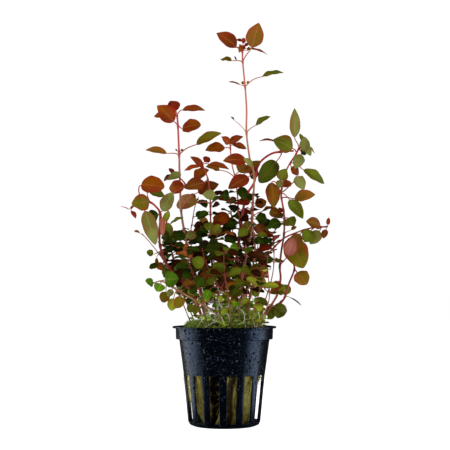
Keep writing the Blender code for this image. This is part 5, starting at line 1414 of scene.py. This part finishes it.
def pot_mesh():
    """Two turned skins with slots between the ribs."""
    columns = pot_columns()
    count = len(columns)
    shape = bmesh.new()

    def ring(radius, height, proud):
        """Corners of the pot at a height, with the ribs proud or not."""
        corners = []
        for index, (turn, in_slot) in enumerate(columns):
            in_rib = not (in_slot or columns[index - 1][1])
            reach = (radius + (RIB_RELIEF if proud and in_rib else 0.0)) * MM
            corners.append(shape.verts.new((reach * math.sin(turn), -reach * math.cos(turn), height * MM)))
        return corners

    outside = [ring(*point, index in RIBBED_RINGS) for index, point in enumerate(POT_OUTSIDE)]
    inside = [ring(*point, False) for point in POT_INSIDE]
    skin = outside + inside
    open_bands = [*OPEN_OUTSIDE, *(len(outside) + band for band in OPEN_INSIDE)]
    for band, (lower, upper) in enumerate(zip(skin, skin[1:])):
        for k, (_, in_slot) in enumerate(columns):
            if not (band in open_bands and in_slot):
                after = (k + 1) % count
                shape.faces.new((lower[k], lower[after], upper[after], upper[k]))
    outer = [outside[k] for k in (OPEN_OUTSIDE[0], OPEN_OUTSIDE[1], OPEN_OUTSIDE[1] + 1)]
    inner = [inside[k] for k in (OPEN_INSIDE[1] + 1, OPEN_INSIDE[1], OPEN_INSIDE[0])]
    for k, (_, in_slot) in enumerate(columns):
        after = (k + 1) % count
        if in_slot:
            shape.faces.new((outer[0][k], outer[0][after], inner[0][after], inner[0][k]))
            shape.faces.new((outer[-1][after], outer[-1][k], inner[-1][k], inner[-1][after]))
        if in_slot != columns[k - 1][1]:
            for low in range(len(outer) - 1):
                wall = [outer[low][k], outer[low + 1][k], inner[low + 1][k], inner[low][k]]
                shape.faces.new(wall if not in_slot else wall[::-1])
    shape.faces.new(outside[0][::-1])
    shape.faces.new(inside[-1])
    bmesh.ops.recalc_face_normals(shape, faces=shape.faces)
    mesh = bpy.data.meshes.new("net_pot")
    shape.to_mesh(mesh)
    shape.free()
    return mesh


pot = show("net_pot", pot_mesh())
print("the pot has", len(pot.data.polygons), "faces before its edges are rounded")

# %% [markdown]
# ## The pot's finish
# Moulded plastic of this kind is nearly black with a satin skin, so what the eye sees is its highlights.
# The surface is damp, and a fine speckle breaks them up. The speckle is mostly relief and gloss: small
# round dots, only some of them raised, smoother than the plastic between, and a few pale dots that are
# painted glints, where droplets would catch the light.

# %% Finish and keep the pot
def plastic_finish():
    """Black satin plastic with fine mould grain and a damp speckle, stronger towards the rim; its pale dots
    are painted glints.
    """
    material, tree, shader = new_finish("pot_plastic", Specular_IOR_Level=0.62,
                                        Specular_Tint=(0.36, 0.58, 1.0, 1.0))
    upper = tree.part(tree.place(), "Z").ramp(0.010, 0.034) * 0.7 + 0.3
    damp = None
    for scale, share in ((500, 0.66), (900, 0.58), (1500, 0.58)):
        cell = tree.cells(scale)
        chosen = tree.add("ShaderNodeSeparateColor", values=(cell.output("Color"),))
        dot = cell.ramp(0.36, 0.10) * (chosen + upper * 0.25).ramp(share + 0.18, share + 0.26) * (500 / scale)
        damp = dot if damp is None else damp.do("MAXIMUM", dot)
    damp = damp * upper
    # painted glint: sparse pale blue dots in the base colour stand for droplets catching the light
    cell = tree.cells(1050)
    chosen = tree.add("ShaderNodeSeparateColor", values=(cell.output("Color"),), output=1)
    painted_glint = cell.ramp(0.27, 0.12) * chosen.ramp(0.87, 0.91) * upper
    patch = tree.grain(60, 3.0)
    colour = tree.mix(patch, paint(0, 0, 2), paint(2, 3, 8))
    colour = tree.mix(painted_glint * 0.8, colour, paint(124, 142, 178))
    wire(shader, Base_Color=colour, Roughness=0.26 + patch * 0.06 - damp.ramp(0.0, 0.2) * 0.20,
         Normal=tree.bump(1.0, 0.0011, damp + tree.grain(2600, 2.0) * 0.03))
    return material


pot.data.materials.append(plastic_finish())
pot.data.shade_smooth()
pot.data.set_sharp_from_angle(angle=EDGE_ANGLE)
rounding = pot.modifiers.new("edges", "BEVEL")
rounding.width = EDGE_ROUND * MM
rounding.segments = 2
rounding.limit_method = "ANGLE"
rounding.angle_limit = EDGE_ANGLE
rounding.harden_normals = True
keep(pot, "pot_plastic", "pot")

# %% [markdown]
# ## The rock wool
# The plant is rooted in mineral fibre, wrapped into a plug and pushed into the pot. It shows through the
# slots as soft upright folds, olive and brown, and it stands above the rim on the left as a mossy mound.
# It is a turned skin, pushed in by folds at given turns and wrinkled by noise that is stretched along the
# height. The skin remembers how deep it lies, and the finish paints shade there.

# %% Shape the wool
WOOL_PROFILE = (    # height, radius and x of the middle
    (1.5, 12.5, 0.3), (6, 14.2, 0.5), (10, 16.3, -0.8), (15, 17.7, -1.9), (22, 19, -1.5),
    (25.5, 20.2, -0.6), (31, 20.4, -0.6), (44, 21.2, -0.5), (48, 22, -0.3), (50, 22, -0.2),
)
WOOL_FOLDS = (      # turn from the front, half width, depth, and the turn's change per millimetre of foot
    (-12.6, 11.5, 3.6, -2.4), (15.5, 9.5, 2.3, -0.5), (27, 2, 1.6, 0), (-48, 3, 1.6, 0), (-33, 2, 1.2, 0),
    (100, 6, 2.6, 0), (141, 8, 3, 0), (170, 5, 2.4, 0), (-160, 7, 3, 0), (-118, 6, 2.4, 0),
    (-100, 3, 1.6, 0),
)
FOOT_HEIGHT = 12.0              # below this the folds drift sideways
WOOL_FOOT = 1.5
WOOL_TOP = 50.2
WOOL_SHOULDER = WOOL_TOP - 2.0  # where the side ends and the top begins
WOOL_INSET = 0.25
WOOL_WAVE = 0.5
TOP_LUMPS = 0.9
MOUND_HEIGHT = 4.8
MOUND_RIGHT_END = -3.0
MOUND_MIDDLE = -2.0
MOUND_HALF_DEPTH = 17.0
MOUND_SLOPE = 6.0
WOOL_TURNS = 240
WOOL_ROWS = 90
WOOL_TOP_ROWS = 26
WRINKLE_DEPTH = 1.1
FIBRE_DEPTH = 0.3


def wool_outline(height):
    """The radius of the wool and the x of its middle at a height."""
    for lower, upper in zip(WOOL_PROFILE, WOOL_PROFILE[1:]):
        if height <= upper[0]:
            break
    share = (height - lower[0]) / (upper[0] - lower[0])
    return [low + (high - low) * share for low, high in zip(lower[1:], upper[1:])]


def wool_height(x, y):
    """The top of the wool, with the mossy mound that stands above the rim on the left."""
    across = ease((MOUND_RIGHT_END - x) / MOUND_SLOPE)
    along = ease((MOUND_HALF_DEPTH - abs(y - MOUND_MIDDLE)) / MOUND_SLOPE)
    wave = WOOL_WAVE * math.sin(x * 0.4 + 1) * math.cos(y * 0.5)
    return WOOL_TOP + MOUND_HEIGHT * across * along + wave


def fold_depth(turn, height):
    """How deep the folds are at a turn from the front; they wander a little with the height."""
    deep = 0.0
    for middle, half_width, depth, change in WOOL_FOLDS:
        wander = 2.5 * noise.noise(Vector((middle, height * 0.12, 5.0)))
        wander += change * max(0.0, FOOT_HEIGHT - height)
        away = (math.degrees(turn) - middle - wander + 180) % 360 - 180
        deep = max(deep, depth * ease(2.5 * (1.0 - abs(away) / half_width)))
    return deep


def wool_mesh():
    """The skin of the plug, folded on its side and lumpy on top, which knows how deep it lies."""
    places, depths = [], []
    for row in range(WOOL_ROWS + 1):
        height = WOOL_FOOT + (WOOL_SHOULDER - WOOL_FOOT) * row / WOOL_ROWS
        radius, middle = wool_outline(height)
        for k in range(WOOL_TURNS):
            turn = 2 * math.pi * k / WOOL_TURNS
            way = Vector((math.sin(turn), -math.cos(turn), 0.0))
            drift = noise.noise(Vector((way.x * 2, way.y * 2, height * 0.05)) + Vector((3, 7, 1)))
            wrinkle = noise.noise(Vector((way.x * 7 + drift, way.y * 7, height * 0.04)))
            fine = noise.fractal(Vector((way.x * 26, way.y * 26, height * 0.25)), 0.7, 2.0, 3)
            deep = fold_depth(turn, height)
            reach = radius - WOOL_INSET - deep
            reach += WRINKLE_DEPTH * (min(wrinkle, 0.2) - 0.2) + FIBRE_DEPTH * fine
            places.append(Vector((middle, 0, height)) + way * reach)
            depths.append(deep + WRINKLE_DEPTH * max(0.0, 0.1 - wrinkle))
    rim = WOOL_ROWS * WOOL_TURNS
    for row in range(1, WOOL_TOP_ROWS):
        share = 1 - row / WOOL_TOP_ROWS
        for k in range(WOOL_TURNS):
            edge = places[rim + k]
            x, y = edge.x * share, edge.y * share
            lump = noise.fractal(Vector((x * 0.35, y * 0.35, 2.0)), 0.8, 2.0, 4)
            lip = ease((share - 0.9) / 0.1) * 2.0
            places.append(Vector((x, y, wool_height(x, y) - lip + lump * TOP_LUMPS)))
            depths.append(0.0)
    crown = len(places)
    places.append(Vector((0, 0, wool_height(0, 0))))
    depths.append(0.0)
    faces = tube_faces(WOOL_ROWS + WOOL_TOP_ROWS, WOOL_TURNS)
    faces += fan_faces(crown - WOOL_TURNS, WOOL_TURNS, crown)
    faces.append(tuple(range(WOOL_TURNS))[::-1])
    mesh = bpy.data.meshes.new("rock_wool_plug")
    mesh.from_pydata([place * MM for place in places], [], faces)
    mesh.attributes.new("deep", "FLOAT", "POINT").data.foreach_set("value", depths)
    return mesh


print("the wool is folded", len(WOOL_FOLDS), "times")

# %% Finish and keep the wool
def wool_finish():
    """Damp mineral fibre: olive and straw, paler at the far left by painted light, darkened in the folds by
    painted shade, green on top.
    """
    material, tree, shader = new_finish("rock_wool", Specular_IOR_Level=0.25)
    side = tree.part(tree.place(), "X")
    height = side.output("Z")
    deep = tree.attribute("deep")
    upright = tree.grain(330, 4.0, stretch=(1.0, 1.0, 0.16))
    strand = tree.grain(1400, 3.0, stretch=(1.0, 1.0, 0.25))
    cloud = tree.grain(110, 3.0).ramp(0.38, 0.64)
    colour = tree.mix(cloud, paint(142, 137, 68), paint(100, 90, 30))
    colour = tree.mix(upright.ramp(0.54, 0.68), colour, paint(70, 44, 12))
    colour = tree.mix(strand.ramp(0.56, 0.72) * 0.6, colour, paint(174, 166, 102))
    # painted light: the wool at the far left is made paler, where light from the left falls on it
    colour = tree.mix(side.ramp(-0.0150, -0.0175) * 0.8, colour, paint(206, 202, 142))
    # painted shade: the deeper the wool lies in a fold or wrinkle, the darker it is painted
    colour = tree.mix(deep.ramp(0.5, 2.6), colour, paint(32, 20, 4))
    colour = tree.mix(deep.ramp(2.4, 3.4), colour, paint(5, 3, 0))
    colour = tree.mix(height.ramp(0.0475, 0.0495) * 0.85, colour, paint(98, 124, 40))
    wire(shader, Base_Color=colour, Roughness=0.78 + strand * 0.15,
         Normal=tree.bump(0.8, 0.0005, strand + upright * 0.5))
    return material


wool = show("rock_wool_plug", wool_mesh())
wool.data.materials.append(wool_finish())
wool.data.shade_smooth()
keep(wool, "rock_wool", "rock_wool")

# %% [markdown]
# ## Roots
# White roots leave the stems low down and wander to the wool. The ones that show in front were traced
# like the stems; the others drop from random places low on the stems and wander a little at every step.

# %% Grow the roots
FRONT_ROOTS = (     # column, row and depth of the points of each root
    ((251, 298.5, -12), (244, 299.5, -14), (239.5, 304.5, -15), (236.5, 309.5, -14)),
    ((237.5, 307, -14), (243, 312, -16), (244.7, 318, -17), (245.6, 327, -15)),
    ((204, 317, -16), (200.4, 322.5, -18), (197.3, 327.5, -19)),
    ((218.5, 320.5, -15), (211, 323.8, -17), (204.5, 327.5, -19)),
    ((214.5, 311, -13), (216, 317.5, -16), (211, 322.5, -17)),
    ((217, 305, -12), (218.2, 313, -16), (222.5, 319.5, -18), (224.2, 324.5, -17), (221.5, 327.5, -15)),
    ((218, 299, -13), (221, 306.5, -16), (227, 311.5, -14)),
    ((220.5, 291, -14), (231, 297.5, -16), (238, 304, -15)),
    ((204, 305, -14), (208, 309.5, -17), (212.5, 311.5, -15)),
    ((250.5, 289, -10), (251.8, 297, -14), (254.8, 306, -15), (253, 318, -14), (255, 327.5, -12)),
    ((229, 304, -14), (226, 311, -18), (229.5, 318, -18), (228, 327, -16)),
    ((208, 296, -12), (205, 303, -15), (209, 311, -16), (206, 318, -17)),
    ((260, 302, -8), (257, 309, -11), (259.5, 317, -12), (256, 327, -11)),
)
ROOT_SEED = 5
FREE_ROOTS = 80
ROOT_STARTS = (14, 28)          # along the stem
ROOT_RADIUS = 0.21
ROOT_SPACING = 0.9
ROOT_STEP = 1.6
ROOT_STEPS = 16
ROOT_WANDER = 0.6
ROOT_REACH = 17.0               # further out than this no root leaves a stem
ROOT_END_REACH = 21.0           # roots stay inside the rim


def sideways(chance):
    """A random level push, up to 1 each way."""
    return Vector((chance.uniform(-1, 1), chance.uniform(-1, 1), 0))


def draw_root(lines, places, radius, chance):
    """A thin root along a smooth line, finer towards its end."""
    path = Path(places)
    steps = max(4, round(path.length / ROOT_SPACING))
    points = []
    for index in range(steps + 1):
        share = index / steps
        points.append((path.at(path.length * share), radius * (1 - 0.55 * share), chance.random(), 0.0))
    lines.draw(points)


def free_root(path, along, chance):
    """Points of a root that wanders from a stem down to the wool."""
    place = path.at(along)
    drift = sideways(chance) * ROOT_WANDER
    places = [place]
    while place.z > wool_height(place.x, place.y) - 0.8 and len(places) < ROOT_STEPS:
        drift += sideways(chance) * ROOT_WANDER
        drift -= Vector((place.x, place.y, 0)) * 0.03
        place = place + (drift + Vector((0, 0, -chance.uniform(0.2, 1.0)))) * ROOT_STEP
        if place.xy.length > ROOT_END_REACH:
            place.xy *= ROOT_END_REACH / place.xy.length
        places.append(place)
    return places


def root_finish():
    """White roots, yellow-green in places."""
    material, tree, shader = new_finish("roots")
    tone = tree.attribute("redness") * 0.5 + tree.grain(300, 2.0) * 0.5
    colour = tree.mix(tone.ramp(0.45, 0.75), paint(236, 236, 222), paint(196, 194, 140))
    wire(shader, Base_Color=colour, Roughness=0.42 + tone * 0.1)
    return material


chance = random.Random(ROOT_SEED)
root_lines = Lines()
for places in FRONT_ROOTS:
    draw_root(root_lines, [spot(*place) for place in places], ROOT_RADIUS * chance.uniform(1.0, 1.5), chance)
rooted = [path for name, path in paths.items() if name != "right_side"]
for _ in range(FREE_ROOTS):
    path = chance.choice(rooted)
    along = chance.uniform(*ROOT_STARTS)
    if path.at(along).xy.length < ROOT_REACH:
        places = free_root(path, along, chance)
        draw_root(root_lines, places, ROOT_RADIUS * chance.uniform(0.7, 1.3), chance)
keep(grow_tubes("roots", root_lines, root_finish(), sides=5), "stem_pale")

# %% [markdown]
# ## Seedlings on the wool
# Between the stems the wool carries a lawn of tiny bright plants: a thread of a stalk and a few pairs of
# round leaves, two to four millimetres long. They are spread at random over the wool, fewer and shorter
# on the mound, and use the same blades and tubes as the plant itself.

# %% Grow the seedlings
SEEDLING_SEED = 9
SEEDLINGS = 250
SEEDLING_REACH = 20.5
MOUND_SHARE = 0.3               # few seedlings grow on the moss of the mound
MOUND_GROWTH = 0.35             # how high they grow there, as a share
SEEDLING_HEIGHTS = (2.0, 20.0)
USUAL_HEIGHT = 4.0
SEEDLING_LEAF = (2.0, 4.4)
SEEDLING_STALK = 0.13
PAIR_SPACING = 4.0
# the lawn tint is partly painted light, paler to offset the shade of the plant
LAWN_TINTS = ("lawn", "lawn", "lawn", "light_green")


def grow_seedling(lines, leaves, x, y, chance):
    """One seedling at a place on the wool: its stalk as a line and its leaves."""
    foot = Vector((x, y, wool_height(x, y) - 0.4))
    height = chance.triangular(*SEEDLING_HEIGHTS, USUAL_HEIGHT) * (MOUND_GROWTH if x < MOUND_RIGHT_END else 1)
    top = foot + (UP + sideways(chance) * 0.35).normalized() * height
    middle = foot.lerp(top, 0.5) + sideways(chance) * height * 0.12
    path = Path([foot, middle, top])
    lines.draw([(path.at(path.length * k / 6), SEEDLING_STALK - 0.01 * k, 0.0, 0.0) for k in range(7)])
    pairs = 1 + int(height / PAIR_SPACING)
    turn = chance.uniform(0, math.pi)
    for pair in range(pairs):
        along = path.length * (1 - 0.8 * pair / pairs)
        base = path.at(along)
        for half in (0, math.pi):
            rise = chance.uniform(0.1, 0.7)
            out = Vector((math.cos(turn + half), math.sin(turn + half), rise)).normalized()
            size = chance.uniform(*SEEDLING_LEAF)
            start = base + out * 0.5
            tint = chance.choice(LAWN_TINTS)
            tip = start + (out - UP * chance.uniform(0, 0.4)).normalized() * size
            normal = facing((tip - start).normalized(), chance.uniform(0, 60))
            width = size * chance.uniform(0.6, 0.85)
            leaves.append(Leaf(along, base, start, tip, width, normal, tint, SMALL_BLADE))
        turn += math.pi / 2


seedling_lines, seedling_leaves = Lines(), []
chance = random.Random(SEEDLING_SEED)
for _ in range(SEEDLINGS):
    reach = SEEDLING_REACH * math.sqrt(chance.random())
    turn = chance.uniform(0, 2 * math.pi)
    x, y = reach * math.cos(turn), reach * math.sin(turn)
    if x > MOUND_RIGHT_END or chance.random() < MOUND_SHARE:
        grow_seedling(seedling_lines, seedling_leaves, x, y, chance)
SPROUT = stem_finish("sprout_stalk", (176, 180, 116), (186, 150, 100), (168, 178, 104))
keep(grow_tubes("seedling_stalks", seedling_lines, SPROUT, sides=5), "leaf_bright_green")
for tint in sorted(set(LAWN_TINTS)):
    same = [leaf for leaf in seedling_leaves if leaf.tint == tint]
    piece = grow_blades("seedlings_" + tint, same, LEAF_FINISH[tint], rows=8, columns=5)
    keep(piece, "leaf_" + SLOT_OF_TINT.get(tint, tint))

# %% [markdown]
# ## Fibres and moss
# Loose fibres lie on the sides of the wool and give it its soft edge, and moss stands on its top. Both are
# the same thing to a tree of nodes: points spread over a surface by a seed, and on each a thin bent
# strand. Only numbers such as the lean, the length and the thickness differ, so one rule grows both.

# %% Spread strands over the wool
FOLD_LIMIT = 1.0            # deeper than this the folds are too tight for loose fibres


def grow_strands(name, surface, material, low, high, density, length, radius, bend, lean, seed):
    """Thin bent strands on the part of a surface between two heights."""
    rule = Growth(name, Density=density, Length=length, Radius=radius, Bend=bend, Lean=lean,
                  Low=low, High=high, Seed=seed)
    height = rule.part(rule.add("GeometryNodeInputPosition"), "Z")
    inside = height.do("GREATER_THAN", rule.given("Low")) * height.do("LESS_THAN", rule.given("High"))
    inside = inside * rule.stored("deep").do("LESS_THAN", FOLD_LIMIT)
    points = rule.add("GeometryNodeDistributePointsOnFaces", values={
        "Mesh": rule.given("Start"), "Selection": inside, "Density": rule.given("Density"),
        "Seed": rule.given("Seed")})
    end = rule.add("ShaderNodeCombineXYZ", values={"Z": rule.given("Length")})
    line = rule.add("GeometryNodeCurvePrimitiveLine", values={"End": end})
    line = rule.add("GeometryNodeResampleCurve", values={"Curve": line, "Count": 4})
    share = rule.add("GeometryNodeSplineParameter")
    push = rule.add("ShaderNodeCombineXYZ", values={"X": share * share * rule.given("Bend")})
    line = rule.add("GeometryNodeSetPosition", values={"Geometry": line, "Offset": push})
    ring = rule.add("GeometryNodeCurvePrimitiveCircle", values={"Resolution": 3, "Radius": 1.0})
    strand = rule.add("GeometryNodeCurveToMesh", values={
        "Curve": line, "Profile Curve": ring, "Fill Caps": True,
        "Scale": rule.given("Radius") * (1.1 - share)})
    tilt = rule.add("ShaderNodeCombineXYZ", values={"X": rule.given("Lean"), "Y": 0.0, "Z": 3.2})
    turn = rule.add("FunctionNodeRandomValue", {"data_type": "FLOAT_VECTOR"},
                    {0: rule.scaled(tilt, -1.0), 1: tilt, "Seed": rule.given("Seed")})
    turn = rule.add("FunctionNodeEulerToRotation", values=(turn,))
    both = rule.add("FunctionNodeRotateRotation", {"rotation_space": "LOCAL"},
                    {"Rotation": points.output("Rotation"), "Rotate By": turn})
    size = rule.add("FunctionNodeRandomValue", {"data_type": "FLOAT"},
                    {2: 0.45, 3: 1.35, "Seed": rule.given("Seed")}, output=1)
    placed = rule.add("GeometryNodeInstanceOnPoints", values={
        "Points": points, "Instance": strand, "Rotation": both, "Scale": size})
    return rule.grow(name, surface, placed, material)


def strand_finish(name, light, dark, low):
    """Fine strands whose tone drifts from place to place."""
    material, tree, shader = new_finish(name, Specular_IOR_Level=0.25)
    colour = tree.mix(tree.grain(420, 3.0).ramp(0.38, 0.62), paint(*light), paint(*dark))
    colour = tree.mix(tree.grain(90, 2.0).ramp(0.5, 0.66) * 0.7, colour, paint(*low))
    wire(shader, Base_Color=colour, Roughness=0.7 + tree.grain(800) * 0.2)
    return material


FIBRE = strand_finish("wool_fibre", (168, 160, 92), (112, 102, 40), (70, 46, 14))
MOSS = strand_finish("moss", (168, 188, 88), (112, 140, 46), (160, 160, 88))
fibres = grow_strands("wool_fibres", wool.data, FIBRE, low=0.006, high=0.046, density=1.0e6,
                      length=0.0032, radius=0.00006, bend=0.0014, lean=1.5, seed=3)
keep(fibres, "rock_wool")
moss = grow_strands("moss", wool.data, MOSS, low=0.0485, high=0.08, density=3.4e6,
                    length=0.0015, radius=0.00009, bend=0.0007, lean=0.9, seed=4)
keep(moss, "leaf_bright_green")

# %% [markdown]
# ## Floor, light and the size of the model
# The plant stands in a bright white studio. Two tall soft lights at the sides draw the long highlights on
# the pot's left and right. One overhead and a weak one in front light the leaves and don't show in
# gloss, so the black pot stays black in its middle. The floor is pale, and the world is white where
# the camera sees it but dim as a source of light.

# %% Floor and lights
FLOOR_RADIUS = 30.0
LIGHTS_LOOK_AT = Vector((0.0, 0.0, 0.10))


def soft_light(name, place, size, watts, shows_in_gloss=True):
    """A large soft light that looks at the middle of the plant."""
    lamp = bpy.data.lights.new(name, "AREA")
    lamp.shape = "RECTANGLE"
    lamp.size, lamp.size_y = size
    lamp.energy = watts
    light = show(name, lamp)
    light.location = place
    light.rotation_euler = (LIGHTS_LOOK_AT - Vector(place)).to_track_quat("-Z", "Y").to_euler()
    light.visible_glossy = shows_in_gloss


soft_light("left_softbox", (-0.60, 0.13, 0.16), (0.66, 0.75), 3.0)
soft_light("right_softbox", (0.62, -0.04, 0.16), (0.50, 0.75), 2.6)
soft_light("overhead", (0.0, -0.38, 0.80), (0.8, 0.5), 4.3, shows_in_gloss=False)
soft_light("front", (0.10, -0.70, 0.12), (0.6, 0.3), 1.6, shows_in_gloss=False)

floor_shape = bmesh.new()
bmesh.ops.create_circle(floor_shape, cap_ends=True, segments=64, radius=FLOOR_RADIUS)
floor_mesh = bpy.data.meshes.new("studio_floor")
floor_shape.to_mesh(floor_mesh)
floor_shape.free()
floor = show("studio_floor", floor_mesh)
floor_finish = new_finish("studio_floor", Base_Color=(0.85, 0.85, 0.85, 1.0), Roughness=0.8,
                          Emission_Color=(1.0, 1.0, 1.0, 1.0), Emission_Strength=0.9)
floor.data.materials.append(floor_finish[0])
floor.visible_glossy = False
floor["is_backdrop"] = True

world = bpy.data.worlds.new("studio")
world.use_nodes = True
bpy.context.scene.world = world
sky = Tree(world.node_tree)
to_camera = sky.add("ShaderNodeLightPath", output="Is Camera Ray")
to_gloss = sky.add("ShaderNodeLightPath", output="Is Glossy Ray")
background = world.node_tree.nodes["Background"]
background.inputs["Color"].default_value = (1.0, 1.0, 1.0, 1.0)
strength = to_camera * 0.88 + 0.14 - to_gloss * 0.12
world.node_tree.links.new(strength.socket, background.inputs["Strength"])
bpy.context.scene.view_settings.view_transform = "Standard"
print("lights and a pale floor are set")

# %% Note the size
VISIBLE_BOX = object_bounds()
boxes = {"cad": [list(corner) for corner in CAD_BOX], "visual": [list(corner) for corner in VISIBLE_BOX]}
for key, (low, high) in boxes.items():
    print(key, [round(value / MM, 1) for value in (*low, *high)])
